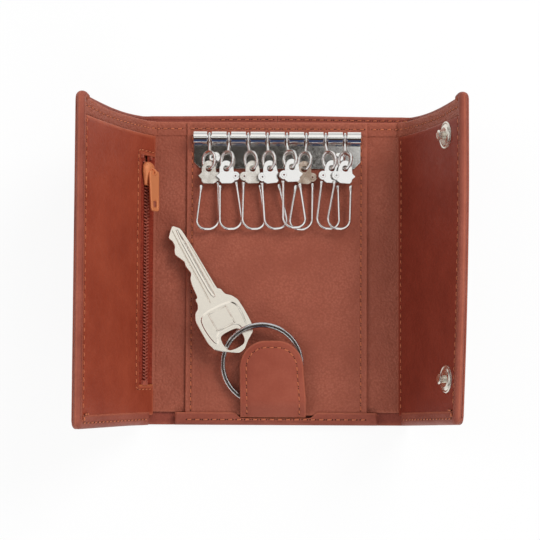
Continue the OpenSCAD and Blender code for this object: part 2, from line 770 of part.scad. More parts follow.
module plate_rivets() {
    z = panel_z + bar_t;
    shank = rivet_d / 2;
    nickel() for (s = [-1, 1]) translate([s * rivet_span / 2, rod_line - 0.63 * bar_drop, 0]) {
        translate([0, 0, lining_z]) cylinder(h = z - lining_z + rivet_h / 3, d = shank);
        translate([0, 0, z]) rotate_extrude() polygon([
            [0, 0], [rivet_d / 2, 0], [rivet_d / 2, rivet_h / 4], [0.43 * rivet_d, 0.62 * rivet_h],
            [0.3 * rivet_d, 0.88 * rivet_h], [0.12 * rivet_d, rivet_h], [0, rivet_h]
        ]);
    }
}

module rivet_washers() {
    nickel() for (s = [-1, 1])
        translate([s * rivet_span / 2, rod_line - 0.63 * bar_drop, shell_t + fit])
            cylinder(h = note_gap - 2 * fit, d = rivet_d);
}

// Hooks
module at_stem(i) {
    translate([hook_x(i), rod_line, rod_z]) rotate([-stem_lifts[i - 1], 0, 0]) children();
}

module hook_stem(i) {
    side = ring_w / 2 - stem_d / 2;
    slack = ring_h - ring_w;
    b = stem_bends[i - 1];
    cut = neck_r * tan(abs(b) / 2);
    nickel() at_stem(i) union() {
        rotate([0, 90, 0]) rotate_extrude() translate([eye_r, 0]) circle(d = stem_d, $fn = 32);
        wire_run([0, -eye_r], [0, cut - stem_bend], neck_d);
        if (b == 0) translate([0, -stem_bend, 0]) wire_bead(neck_d);
        else wire_bend([sign(b) * neck_r, cut - stem_bend], neck_r, b > 0 ? 180 : b,
                       b > 0 ? 180 + b : 0, neck_d);
        translate([0, -stem_bend, 0]) rotate([0, 0, b]) {
            wire_run([0, -cut], [0, stem_bend - ring_y + ring_h / 2 - stem_d / 2], neck_d);
            translate([0, stem_bend - ring_y, 0]) rotate([0, -ring_turn, 0]) {
                wire_bend([0, slack / 2], side, 0, 180, stem_d);
                wire_bend([0, -slack / 2], side, 180, 360, stem_d);
                for (s = [-1, 1])
                    wire_run([s * side, -slack / 2], [s * side, slack / 2], stem_d);
            }
        }
    }
}

module at_head(i) {
    translate(hole_at(i)) rotate([head_drop_tilt, head_side_tilt, 0])
        rotate([0, 0, head_leans[i - 1]]) sided(ear_sides[i - 1]) children();
}

// Outline of a head with its ear on the right, as shares of its half width and its drop
head_shares = [[0.55, 0.42], [0.95, 0.1], [1.05, -0.18], [1.1, -0.88], [0.7, -1], [-0.75, -1],
               [-1, -0.86], [-1.02, -0.72], [-1.48, -0.5], [-1.02, -0.3], [-0.95, 0.1],
               [-0.55, 0.42]];

module head_outline() {
    polygon([for (s = head_shares) [s[0] * head_w / 2, s[1] * head_drop]]);
    translate([0, 0.15 * head_drop]) circle(r = 0.82 * head_w / 2);
    translate([ear_x, -ear_drop]) circle(r = ear_r);
}

module hook_head(i) {
    sheet = 0.25 * head_t;
    seam = ear_drop - 1.1 * ear_r;
    nickel() at_head(i) difference() {
        union() {
            intersection() {
                translate([0, 0, -nose_t / 2]) linear_extrude(nose_t) head_outline();
                box_at(-head_w, head_w, -seam, head_w, -head_t, head_t);
            }
            for (z = [-head_t / 2, head_t / 2 - sheet]) intersection() {
                translate([0, 0, z]) linear_extrude(sheet) head_outline();
                box_at(-head_w, head_w, -head_w * 2, -seam, -head_t, head_t);
            }
            box_at(-0.9 * head_w / 2, 0.55 * head_w / 2, -seam - sheet, -seam, -head_t / 2,
                   head_t / 2);
            translate([ear_x, -ear_drop, 0]) {
                cylinder(h = head_t, d = eyelet_d, center = true);
                for (s = [-1, 1]) translate([0, 0, s * (head_t + eyelet_flange_t) / 2])
                    cylinder(h = eyelet_flange_t, d = eyelet_flange_d, center = true);
            }
        }
        cylinder(h = 2 * head_t, d = nose_hole_d, center = true);
        translate([ear_x, -ear_drop, 0])
            cylinder(h = 2 * head_t, d = eyelet_hole_d, center = true);
    }
}

// Gate: a wire bow that turns on the ear's eyelet; its free end rests under the head
gate_low = -gate_reach + gate_r + gate_d;
gate_right = [ear_x + 0.28 * gate_w - gate_r, gate_low];
gate_left = [gate_right[0] - gate_w + 2 * gate_r, gate_low];
gate_free = [-0.5 * head_w, -head_drop - 1.5 * gap - paddle_l];
gate_disc_r = ear_r - 3.5 * gap;
gate_disc_t = 0.5 * head_t - 2 * gap;

function tangent_angle(c, p, r, s) = atan2(p[1] - c[1], p[0] - c[0]) + s * acos(r / norm(p - c));
function on_circle(c, r, a) = c + r * [cos(a), sin(a)];

module gate_plate(t) { translate([0, 0, -t / 2]) linear_extrude(t) children(); }

module hook_gate(i) {
    r = gate_r + gate_d / 2;
    pivot = [ear_x, -ear_drop];
    right_a = tangent_angle(gate_right, pivot, r, -1);
    left_a = tangent_angle(gate_left, gate_free, r, 1);
    right_end = on_circle(gate_right, r, right_a);
    leg = (right_end - pivot) / norm(right_end - pivot);
    leg_side = [-leg[1], leg[0]] * 0.6 * gate_d;
    start = pivot + leg * ((head_drop - ear_drop + 3.5 * gap) / -leg[1]);
    tongue_end = start + leg * gate_d;
    nickel() at_head(i) difference() {
        union() {
            wire_run(start, right_end, gate_d);
            wire_bend(gate_right, r, -90, right_a, gate_d);
            wire_run([gate_left[0], gate_low - r], [gate_right[0], gate_low - r], gate_d);
            wire_bend(gate_left, r, left_a, 270, gate_d);
            wire_run(on_circle(gate_left, r, left_a), gate_free, gate_d);
            gate_plate(gate_disc_t) {
                translate(pivot) circle(r = gate_disc_r);
                polygon([pivot - leg_side, pivot + leg_side, tongue_end + leg_side,
                         tongue_end - leg_side]);
            }
            gate_plate(0.7 * gate_d) translate(gate_free) {
                translate([-0.75 * gate_d, -gate_d])
                    square([1.5 * gate_d, paddle_l - 0.75 * gate_d + gate_d]);
                translate([0, paddle_l - 0.75 * gate_d]) circle(r = 0.75 * gate_d);
            }
        }
        translate([pivot[0], pivot[1], 0])
            cylinder(h = 2 * head_t, d = eyelet_d + 2 * fit, center = true);
    }
}

// Tab: two leathers over the ring, with a strap that goes under the ring. Shares of the
// tab's length and, above the ring's middle, of the ring's height
tab_curve_shares = [[0.097, -1.235], [0.2, 0.118], [0.346, 0.353], [0.54, 0.618],
                    [0.767, 1.03], [1, 1.44]];
function tab_curve(t) = concat(
    [for (y = [tab_low, tab_low + 2.2 * tab_back_t]) [y, panel_z + fit + t]],
    [for (s = tab_curve_shares) [tab_low + s[0] * tab_l, ring_c_z + s[1] * ring_wire_h + t]]
);

module tab_layer(t0, t1) {
    r = tab_w / 2;
    intersection() {
        across(concat(tab_curve(t0), [for (k = [len(tab_curve(t1)) - 1:-1:0]) tab_curve(t1)[k]]),
               tab_x - r, tab_x + r);
        translate([tab_x, 0, 0]) linear_extrude(wing_l) union() {
            translate([-r, -half_h]) square([tab_w, half_h + tab_end - 0.84 * r]);
            intersection() {
                translate([0, tab_end - r]) circle(r);
                translate([-r, -half_h]) square([tab_w, half_h]);
            }
        }
    }
}

module tab_back() { smooth_leather() tab_layer(0, tab_back_t); }
module tab_front() { smooth_leather() tab_layer(tab_back_t + fit / 2, tab_back_t + tab_t); }

module ring_strap() {
    t = tab_back_t;
    z = panel_z + fit;
    y0 = tab_low + 2.6 * t;
    y1 = tab_low + tab_l / 3;
    top = ring_c_z + 0.24 * ring_wire_h;
    dark_leather() across([
        [y0, z + gap], [y0, z], [y1, z], [y1 + t, z + t], [y1 + t, top],
        [y1, top], [y1, z + t + gap], [y1 - gap, z + t], [y0 + t, z + t]
    ], ring_x - 0.12 * tab_w, ring_x + 0.33 * tab_w);
}

module at_ring() {
    translate([ring_x, ring_c_y, ring_c_z])
        rotate(a = ring_tilt, v = [sin(ring_rise_to), -cos(ring_rise_to), 0]) children();
}

module split_ring() {
    ro = ring_ro;
    ri = ring_ro - ring_wire_w;
    h = ring_wire_h / 2;
    c = ring_wire_w / 5;
    nickel() at_ring() rotate_extrude($fn = 96) polygon([
        [ri + c, -h], [ro - c, -h], [ro, -h + c], [ro, -c / 3], [ro - c / 2, 0], [ro, c / 3],
        [ro, h - c], [ro - c, h], [ri + c, h], [ri, h - c], [ri, c / 3], [ri + c / 2, 0],
        [ri, -c / 3], [ri, -h + c]
    ]);
}

// Key: outline from the bow's end to the tip, as shares of its length and of its bow's width
key_outline_shares = [
    [0, 0.02], [0.09, 0.42], [0.155, 0.49], [0.25, 0.5], [0.33, 0.5], [0.38, 0.43], [0.4, 0.34],
    [0.43, 0.3], [0.466, 0.3], [0.47, 0.24], [0.565, 0.22], [0.612, 0.185], [0.642, 0.115],
    [0.705, 0.15], [0.735, 0.125], [0.805, 0.23], [0.835, 0.2], [0.86, 0.15], [0.9, 0.145],
    [0.93, 0.19], [0.973, 0.08], [1, -0.005], [0.955, -0.135], [0.81, -0.17], [0.65, -0.19],
    [0.47, -0.21], [0.458, -0.27], [0.412, -0.3], [0.38, -0.41], [0.336, -0.48], [0.262, -0.5],
    [0.149, -0.5], [0.091, -0.445], [0.05, -0.26], [0.007, -0.12]
];

module key_flat(shares) {
    polygon([for (s = shares) [s[0] * key_l - key_hole_back, s[1] * bow_w]]);
}

module key() {
    groove = key_t / 4;
    color([0.72, 0.66, 0.56]) translate([key_hole_x, key_hole_y, key_hole_z])
        rotate([0, 0, key_turn]) rotate([0, key_pitch, 0]) rotate([key_roll, 0, 0]) difference() {
            translate([0, 0, -key_t / 2]) linear_extrude(key_t)
                key_flat(key_outline_shares);
            for (s = [-1, 1]) translate([0, 0, s * (key_t / 4 + bow_t / 4)])
                linear_extrude((key_t - bow_t) / 2 + fit / 50, center = true)
                    key_flat(field_shares);
            translate([0, 0, -key_t]) linear_extrude(2 * key_t) key_hole();
            for (s = [-1, 1])
                box_at(0.47 * key_l - key_hole_back, key_l, s * groove + 0.01 * bow_w - groove / 2,
                       s * groove + 0.01 * bow_w + groove / 2 + groove, s > 0 ? bow_t / 2 : -key_t,
                       s > 0 ? key_t : -bow_t / 2);
        }
}

// The sunk field of the bow, inside its rim
field_shares = [[0.035, 0.03], [0.105, 0.36], [0.165, 0.42], [0.33, 0.43], [0.355, 0.38],
                [0.365, 0.22], [0.365, -0.22], [0.35, -0.36], [0.325, -0.41], [0.16, -0.43],
                [0.112, -0.38], [0.072, -0.2]];

module key_hole() {
    spread = (key_hole_w - key_hole_l) / 2;
    for (s = [-1, 1]) translate([0, s * spread]) circle(d = key_hole_l);
    square([key_hole_l, 2 * spread], center = true);
}

shell_back();
back_lining();
key_panel();
panel_board();
shell_left_wing();
left_wing_lining();
left_pocket_panel();
shell_right_wing();
right_wing_lining();
right_pocket_panel();
fold_left();
fold_right();
lining_fold_left();
lining_fold_right();
zip_tapes();
zip_teeth();
zip_stops();
zip_slider();
zip_pull();
snap_studs();
snap_posts();
snap_sockets();
snap_caps();
hook_plate();
hook_rod();
plate_rivets();
rivet_washers();
for (i = [1:hooks]) hook_stem(i);
for (i = [1:hooks]) hook_head(i);
for (i = [1:hooks]) hook_gate(i);
tab_front();
tab_back();
ring_strap();
split_ring();
key();
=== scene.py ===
# Folding leather key case on a pale floor. Lengths below are millimetres unless said otherwise.
import math
import random

import bmesh
import bpy
import numpy as np
from mathutils import Matrix, Vector


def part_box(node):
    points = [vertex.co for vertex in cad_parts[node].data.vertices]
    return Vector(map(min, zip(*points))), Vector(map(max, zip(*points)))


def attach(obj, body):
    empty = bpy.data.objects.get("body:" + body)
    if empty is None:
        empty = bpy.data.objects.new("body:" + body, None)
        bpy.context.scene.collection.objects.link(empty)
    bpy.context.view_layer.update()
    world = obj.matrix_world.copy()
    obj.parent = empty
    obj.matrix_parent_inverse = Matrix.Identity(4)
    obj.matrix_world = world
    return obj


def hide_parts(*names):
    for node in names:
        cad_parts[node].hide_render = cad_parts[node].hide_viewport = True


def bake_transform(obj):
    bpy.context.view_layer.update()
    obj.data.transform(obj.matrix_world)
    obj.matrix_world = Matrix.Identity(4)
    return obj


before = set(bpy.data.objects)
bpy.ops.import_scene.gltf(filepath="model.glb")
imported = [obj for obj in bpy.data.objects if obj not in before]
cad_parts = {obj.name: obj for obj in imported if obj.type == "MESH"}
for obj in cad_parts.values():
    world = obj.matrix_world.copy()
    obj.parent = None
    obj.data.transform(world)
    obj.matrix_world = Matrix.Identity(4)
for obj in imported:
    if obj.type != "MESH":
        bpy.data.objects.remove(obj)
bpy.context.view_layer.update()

MM = 0.001

# Sizes shared with the CAD. A side is -1 for the left wing and 1 for the right one
HALF_H = 63.5
CREASE = 49.5
WING_L = 65.0
RISE = {-1: math.radians(68.5), 1: math.radians(73.0)}
WEDGE = math.radians(2.0)
STACK_T = 2.4
SHELL_T = 1.0
STRIP_Z = 2.0
PANEL_Z = 3.2
PANEL_HALF = 37.0
LINING_TOP = 60.5
BAND_LOW = 54.7
POCKET_TOP = 54.5
BORDER_TOP = -58.3
PANEL_LOW = -59.6
BODY = {-1: "left_wing", 1: "right_wing"}
SIDE_NAME = {-1: "left", 1: "right"}
ZIP_U = 9.0
ZIP_LOW, ZIP_HIGH = -47.5, 45.5
SLIDER_Y = 38.0

# Places of the stitch lines in each sheet's own measures
OUTER_LINE = 61.8
LINING_LINE = 57.6
PANEL_LINE = 57.5
PANEL_SIDES = (-34.7, 34.4)
ZIP_LINES = (ZIP_LOW - 1.6, ZIP_HIGH + 1.9)
TAB_INSET = 2.7


# Materials
def srgb(color):
    def lin(c):
        c = c / 255
        return c / 12.92 if c <= 0.04045 else ((c + 0.055) / 1.055) ** 2.4
    return (*map(lin, color), 1)


class Graph:
    """Short calls for the nodes of one material, or of the world."""

    def __init__(self, owner):
        owner.use_nodes = True
        self.owner = owner
        self.nodes = owner.node_tree.nodes
        self.nodes.clear()
        self.coords = self.add("ShaderNodeTexCoord", {}).outputs

    def add(self, kind, inputs, **settings):
        """A new node; each input is a value, or another node's output to link to it."""
        node = self.nodes.new(kind)
        for name, value in settings.items():
            setattr(node, name, value)
        for name, value in inputs.items():
            if hasattr(value, "is_output"):
                self.owner.node_tree.links.new(value, node.inputs[name])
            else:
                node.inputs[name].default_value = value
        return node

    def noise(self, scale, detail=3.0, rough=0.5, vector=None):
        vector = vector or self.coords["Object"]
        inputs = {"Scale": scale, "Detail": detail, "Roughness": rough, "Vector": vector}
        return self.add("ShaderNodeTexNoise", inputs).outputs["Fac"]

    def cells(self, scale, feature="F1"):
        inputs = {"Scale": scale, "Vector": self.coords["Object"]}
        return self.add("ShaderNodeTexVoronoi", inputs, feature=feature).outputs["Distance"]

    def stretched(self, scale, turn=(0, 0, 0)):
        inputs = {"Scale": scale, "Rotation": turn, "Vector": self.coords["Object"]}
        return self.add("ShaderNodeMapping", inputs).outputs["Vector"]

    def span(self, value, a, b, c, d, **settings):
        """Takes a range of values from a to b onto one from c to d."""
        inputs = {"Value": value, "From Min": a, "From Max": b, "To Min": c, "To Max": d}
        return self.add("ShaderNodeMapRange", inputs, **settings).outputs["Result"]

    def calc(self, kind, a, b=0.0):
        return self.add("ShaderNodeMath", {0: a, 1: b}, operation=kind).outputs[0]

    def mix(self, fac, a, b):
        inputs = {"Factor": fac, "A": a, "B": b}
        return self.add("ShaderNodeMix", inputs, data_type="RGBA").outputs["Result"]

    def bump(self, height, strength, distance, normal=None):
        inputs = {"Strength": strength, "Distance": distance * MM, "Height": height}
        if normal is not None:
            inputs["Normal"] = normal
        return self.add("ShaderNodeBump", inputs).outputs["Normal"]

    def finish(self, color, rough, normal, specular=0.5, metallic=0.0):
        """Ends a material with one surface."""
        inputs = {"Base Color": color, "Roughness": rough, "Normal": normal,
                  "Specular IOR Level": specular, "Metallic": metallic}
        surface = self.add("ShaderNodeBsdfPrincipled", inputs).outputs[0]
        self.add("ShaderNodeOutputMaterial", {"Surface": surface})
        return self.owner


def new_graph(name):
    return Graph(bpy.data.materials.new(name))


def leather(name, dark, light, edge, grain, gloss, edge_reach=1.6, pore=1150):
    """Two tones of hide, a lighter worn edge, pores and fine creases."""
    g = new_graph(name)
    dark, light, edge = srgb(dark), srgb(light), srgb(edge)
    tone = g.mix(g.span(g.noise(55, 4, 0.6), 0.35, 0.68, 0, 1), dark, light)
    tone = g.mix(g.span(g.noise(900, 3, 0.6), 0.4, 0.75, 0, 0.32), tone, light)
    tone = g.mix(g.span(g.cells(pore), 0.15, 0.75, 0, 0.6 * grain), tone, dark)
    near = g.add("ShaderNodeAttribute", {}, attribute_name="edge").outputs["Fac"]
    worn = g.calc("MULTIPLY", g.span(near, 0, edge_reach, 0.75, 0), g.span(g.noise(420), 0.3, 0.6, 0.55, 1))
    rough = g.span(g.noise(240), 0.3, 0.7, gloss - 0.06, gloss + 0.08)
    skin = g.bump(g.cells(pore, "SMOOTH_F1"), 0.75 * grain, 0.3)
    skin = g.bump(g.noise(2600, 4, 0.65), 0.4 * grain, 0.1, skin)
    skin = g.bump(g.noise(110, 4, 0.55), 0.15, 0.35, skin)
    return g.finish(g.mix(worn, tone, edge), rough, skin, specular=0.26)


def metal(name, color, rough, scratch, bevel, wear=None, metallic=1):
    """Scuffed metal with rounded edges; wear is a second tone in blotches."""
    g = new_graph(name)
    if wear is not None:
        color = g.mix(g.span(g.noise(180, 5, 0.7), 0.42, 0.68, 0, 1), color, wear)
    scuffs = g.noise(700, 5, 0.7, g.stretched((1, 1, 1), (0, 0, 0.6)))
    rounded = g.add("ShaderNodeBevel", {"Radius": bevel * MM}, samples=4).outputs["Normal"]
    normal = g.bump(scuffs, scratch, 0.03, rounded)
    return g.finish(color, g.span(scuffs, 0.3, 0.75, rough * 0.7, rough * 1.5), normal, metallic=metallic)


def plain(name, color, rough, grain=1800, depth=0.08, speck=(0.01, 0.005, 0.004, 1), least=0.35,
          share=0.35, strength=0.5):
    """One colour with specks of another."""
    g = new_graph(name)
    specks = g.noise(grain, 3, 0.6)
    tone = g.mix(g.span(specks, least, 0.7, 0, share), srgb(color), speck)
    return g.finish(tone, rough, g.bump(specks, strength, depth))


def woven(name, color, light):
    g = new_graph(name)
    weft = g.noise(1500, 2, 0.5, g.stretched((0.4, 2.2, 0.4)))
    warp = g.noise(1500, 2, 0.5, g.stretched((2.2, 0.4, 2.2)))
    both = g.calc("ADD", weft, warp)
    tone = g.mix(g.span(both, 0.75, 1.25, 0, 1), srgb(color), srgb(light))
    return g.finish(tone, 0.8, g.bump(both, 0.8, 0.12), specular=0.2)


MATERIALS = {
    "smooth": leather("smooth_hide", (132, 54, 35), (150, 68, 46), (186, 104, 76), 0.3, 0.46),
    "panel": leather("grained_hide", (138, 73, 56), (163, 93, 74), (170, 98, 77), 1.25, 0.56),
    # The dark hide is the smooth hide with painted shade: darker for the right pocket, which faces away
    # from the key light, and for the strap under the tab
    "dark": leather("shade_painted_hide", (116, 43, 30), (133, 54, 39), (152, 74, 55), 0.3, 0.46),
    "turned": leather("turned_hide", (129, 64, 50), (151, 82, 66), (188, 110, 82), 0.6, 0.52, 1.0),
    "outer": leather("outer_hide", (124, 58, 46), (142, 72, 58), (160, 92, 74), 0.8, 0.52, 1.4),
    "tab": leather("tab_hide", (134, 64, 48), (152, 80, 62), (176, 100, 76), 0.45, 0.5, 0.8),
    "thread": plain("thread", (196, 112, 76), 0.55, 1800, 0.1, srgb((120, 62, 42)), 0.3, 0.5, 0.6),
    # Needle holes are flat discs whose near-black colour is painted shade
    "hole": plain("needle_hole_shade", (48, 18, 12), 0.9),
    "raw": plain("raw_edge", (206, 120, 70), 0.8, 1200, 0.1),
    "tape": woven("zip_tape_weave", (104, 34, 24), (150, 62, 44)),
    "coil": plain("zip_coil", (168, 88, 72), 0.42, 900, 0.04),
    "nickel": metal("polished_nickel", (0.82, 0.81, 0.79, 1), 0.1, 0.04, 0.14),
    "ring": metal("ring_nickel", (0.82, 0.82, 0.82, 1), 0.12, 0.04, 0.55),
    "bar": metal("bar_nickel", (0.88, 0.86, 0.82, 1), 0.09, 0.12, 0.14),
    "snap": metal("snap_nickel", (0.78, 0.74, 0.66, 1), 0.26, 0.06, 0.2),
    "stained": metal("stained_nickel", (0.34, 0.25, 0.19, 1), 0.24, 0.1, 0.14, (0.62, 0.52, 0.43, 1)),
    "dull": metal("dull_nickel", (0.8, 0.76, 0.7, 1), 0.24, 0.08, 0.14, (0.5, 0.46, 0.4, 1)),
    "key": metal("key_nickel_silver", (0.87, 0.81, 0.71, 1), 0.2, 0.015, 0.1),
    "copper": metal("copper_lacquer", srgb((214, 132, 86)), 0.36, 0.05, 0.3, metallic=0.35),
}


# Lines and rings of points, and the faces between them
def unit(v):
    return v / np.linalg.norm(v)


def run_of(points):
    """Length along a line, at each of its points."""
    return np.concatenate([[0], np.cumsum(np.linalg.norm(np.diff(points, axis=0), axis=1))])


def arc(x, y, r, start, end, count):
    """Points of an arc round (x, y), from start to end in degrees."""
    return [(x + r * math.cos(a), y + r * math.sin(a)) for a in np.radians(np.linspace(start, end, count))]


def circle(c, a, b, n):
    """n points of an ellipse round c with the half axes a and b."""
    turns = 2 * math.pi * np.arange(n) / n
    return list(c + np.outer(np.cos(turns), a) + np.outer(np.sin(turns), b))


def bands(rows, n, base=0, loop=False):
    """Faces between rings of n points; loop joins the last ring to the first."""
    faces = []
    for i in range(rows if loop else rows - 1):
        p, q = base + i * n, base + (i + 1) % rows * n
        faces += [(p + a, p + (a + 1) % n, q + (a + 1) % n, q + a) for a in range(n)]
    return faces


def tube_faces(rows, n):
    """Faces of a tube of rings with n points each, closed at both ends."""
    return bands(rows, n) + [tuple(range(n - 1, -1, -1)), tuple(range((rows - 1) * n, rows * n))]


def joined(parts):
    """One list of points and one of faces from several pairs of them."""
    verts, faces = [], []
    for v, f in parts:
        faces += [tuple(i + len(verts) for i in q) for q in f]
        verts += v
    return verts, faces


def spread(a, b, step, dense=(), ends=(0.04, 0.12, 0.24, 0.4, 0.6, 0.9, 1.3), least=0.035):
    """Places from a to b, close together at both ends and round each place in dense."""
    marks = [a + d for d in ends] + [b - d for d in ends]
    for c in dense:
        marks += [c + d for d in (-0.75, -0.45, -0.22, 0, 0.22, 0.45, 0.75)]
    count = max(2, int((b - a) / step))
    marks += [a + (b - a) * k / count for k in range(count + 1)]
    out = [a]
    for m in sorted(m for m in marks if a < m < b):
        if m - out[-1] > least and b - m > least:
            out.append(m)
    return np.array(out + [b])


# Mesh building
def put_in_scene(name, data):
    obj = bpy.data.objects.new(name, data)
    bpy.context.scene.collection.objects.link(obj)
    return obj


def new_mesh(name, verts, faces, mat, near=None, fix=True):
    """A smooth piece. near says how far each point is from the edge, and fix turns faces outwards."""
    mesh = bpy.data.meshes.new(name)
    mesh.from_pydata([tuple(v) for v in np.asarray(verts) * MM], [], faces)
    mesh.validate()
    mesh.materials.append(MATERIALS[mat])
    if near is not None:
        layer = mesh.attributes.new("edge", "FLOAT", "POINT")
        layer.data.foreach_set("value", np.asarray(near, np.float32))
    if fix:
        b = bmesh.new()
        b.from_mesh(mesh)
        bmesh.ops.recalc_face_normals(b, faces=b.faces)
        b.to_mesh(mesh)
        b.free()
    mesh.shade_smooth()
    return put_in_scene(name, mesh)


# Past this distance from an edge no leather looks worn
PAST_WEAR = 9.0


def round_over(d, r):
    """How far a surface drops at distance d from its edge, for an edge of radius r."""
    x = np.clip(r - d, 0, r)
    return r - np.sqrt(np.maximum(r * r - x * x, 0))


def panel(name, us, vs, place, top, low, mat, edge_r, low_r, corners=(0, 0, 0, 0), hole=None, worn=True):
    """A sheet with thickness. place(u, v, h) gives points; corners are radii at the low and high
    ends of u for low v, then for high v; hole is (u0, u1, v0, v1) to be left open."""
    U, V = np.meshgrid(us, vs, indexing="ij")
    u0, u1, v0, v1 = us[0], us[-1], vs[0], vs[-1]
    d = np.minimum(np.minimum(U - u0, u1 - U), np.minimum(V - v0, v1 - V))
    PU, PV = U.copy(), V.copy()
    for r, cu, cv in zip(corners, (u0, u1, u0, u1), (v0, v0, v1, v1)):
        su, sv = (-1 if cu == u0 else 1), (-1 if cv == v0 else 1)
        ou, ov = cu - su * r, cv - sv * r
        du, dv = (U - ou) * su, (V - ov) * sv
        far = (du > 0) & (dv > 0)
        k = np.where(far, np.maximum(du, dv) / np.maximum(np.hypot(du, dv), 1e-9), 1)
        PU, PV = np.where(far, ou + su * du * k, PU), np.where(far, ov + sv * dv * k, PV)
    open_cell = np.zeros((len(us) - 1, len(vs) - 1), bool)
    if hole:
        h0, h1, k0, k1 = hole
        gap = np.maximum(np.maximum(h0 - U, U - h1), np.maximum(k0 - V, V - k1))
        d = np.minimum(d, np.maximum(gap, 0))
        cu, cv = (us[:-1] + us[1:]) / 2, (vs[:-1] + vs[1:]) / 2
        open_cell = ((cu > h0) & (cu < h1))[:, None] & ((cv > k0) & (cv < k1))[None, :]
    ht = top(PU, PV) - round_over(d, edge_r)
    hl = low(PU, PV) + round_over(d, low_r)
    pts = np.concatenate([place(PU, PV, ht).reshape(-1, 3), place(PU, PV, hl).reshape(-1, 3)])
    n, m = U.shape
    base = n * m
    faces, free_edges = [], {}
    for i, j in zip(*np.nonzero(~open_cell)):
        a, b, c, e = i * m + j, (i + 1) * m + j, (i + 1) * m + j + 1, i * m + j + 1
        faces += [(a, b, c, e), (base + e, base + c, base + b, base + a)]
        for p, q in ((a, b), (b, c), (c, e), (e, a)):
            if not free_edges.pop((q, p), False):
                free_edges[p, q] = True
    faces += [(q, p, base + p, base + q) for p, q in free_edges]
    used = np.zeros(len(pts), bool)
    for f in faces:
        used[list(f)] = True
    index = np.cumsum(used) - 1
    faces = [tuple(int(index[i]) for i in f) for f in faces]
    near = np.concatenate([d.ravel(), d.ravel()])[used] + (0 if worn else PAST_WEAR)
    return new_mesh(name, pts[used], faces, mat, near)


# Share of a stitch's length, how high it lies there and its thickness as a share
STITCH_SHAPE = ((0, -0.16, 0.45), (0.1, 0.04, 0.85), (0.3, 0.15, 1), (0.5, 0.18, 1.05), (0.7, 0.15, 1),
                (0.9, 0.04, 0.85), (1, -0.16, 0.45))
THREAD_SIDES, HOLE_SIDES = 6, 8


def stitch_run(points, normals, pitch, rng, length=0.62, thick=0.25, slant=0.1):
    """Stitches along a line of points: rounded threads that dip into holes at both ends."""
    dist = run_of(points)
    total = dist[-1]
    count = max(1, int(round(total / pitch)))
    step = total / count

    def at(s):
        p, n = (np.array([np.interp(s, dist, row) for row in rows.T]) for rows in (points, normals))
        return p, unit(n)

    verts, faces = [], []
    for k in range(count):
        mid = (k + 0.5) * step + rng.uniform(-0.05, 0.05) * step
        half = step * length / 2 * rng.uniform(0.93, 1.06)
        p0, n0 = at(max(mid - half, 0))
        p1, n1 = at(min(mid + half, total))
        t = unit(p1 - p0)
        n = unit(n0 + n1 - t * ((n0 + n1) @ t))
        side = np.cross(n, t)
        faces += bands(len(STITCH_SHAPE), THREAD_SIDES, len(verts))
        for f, lift, w in STITCH_SHAPE:
            c = p0 + (p1 - p0) * f + n * lift + side * slant * (f - 0.5) * 2
            verts += circle(c, thick * w * side, thick * w * 0.8 * n, THREAD_SIDES)
        # At each end a flat disc painted dark stands for the shade inside the needle hole
        for end in (-1, 1):
            c, up = at(min(max(mid + end * half * 1.08, 0), total))
            first = len(verts) + 1
            faces += [(first - 1, first + a, first + (a + 1) % HOLE_SIDES) for a in range(HOLE_SIDES)]
            verts += [c + up * 0.04] + circle(c + up * 0.02, t * 0.36, side * 0.32, HOLE_SIDES)
    return verts, faces


def stitches(name, runs, ride=None, blend=None, pitch=3.1, seed=1, **kw):
    """One object for all the stitch lines that move together. Its triangles are the needle holes: flat
    discs painted dark as the shade inside each hole.
    """
    rng = random.Random(seed)
    verts, faces = joined(stitch_run(*run, pitch, rng, **kw) for run in runs)
    obj = new_mesh(name, verts, faces, "thread", fix=False)
    obj.data.materials.append(MATERIALS["hole"])
    obj.data.polygons.foreach_set("material_index", [int(len(f) == 3) for f in faces])
    if blend:
        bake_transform(obj)
    else:
        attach(obj, ride)


def line(place, top, a, b, count=40):
    """A line on a sheet from a to b in its own measures, with the sheet's normals."""
    u, v = (a[k] + (b[k] - a[k]) * np.linspace(0, 1, count) for k in (0, 1))
    p = place(u, v, top(u, v))
    return p, place(u, v, top(u, v) + 0.5) - p


def stitch_path(place, top, corners, radius=1.2):
    """A line through several corners, which are rounded a little unless radius is nought."""
    pts = [corners[0]]
    for a, c, b in zip(*(np.array(part, float) for part in (corners[:-2], corners[1:-1], corners[2:]))):
        p, q = c + unit(a - c) * radius, c + unit(b - c) * radius
        for f in np.linspace(0, 1, 6 if radius else 1):
            pts.append((1 - f) ** 2 * p + 2 * f * (1 - f) * c + f * f * q)
    pts.append(corners[-1])
    parts = [line(place, top, a, b, 12) for a, b in zip(pts, pts[1:])]
    return [np.concatenate(part) for part in zip(*parts)]


# Shares and heights that shape the sheets
def soft_step(x, a, b):
    """Nought at a and before it, one at b and past it; a may be the higher one."""
    t = np.clip((x - a) / (b - a), 0, 1)
    return t * t * (3 - 2 * t)


def groove(x, at, depth=0.14, width=0.5):
    return -depth * np.exp(-((x - at) / width) ** 2)


def ripples(u, v, size, k1, k2, phase):
    return size * (np.sin(u * k1 + phase) * np.cos(v * k2 + 1.7 * phase)
                   + 0.5 * np.sin(u * k1 * 1.9 + v * k2 * 1.3 + phase))


def level(h):
    return lambda u, v: h + 0 * u


# Frames
def flat(u, v, h):
    return np.stack([u, v, h + 0 * u], -1)


# Where on a wing the top edge sags and the lower corner rises, and how far that corner moves
SAG_FROM, SAG_TO = 34, 62
LIFT_FROM, LIFT_TO = -20, -62
CORNER_IN_SHARE, CORNER_UP = 0.098, 2.3


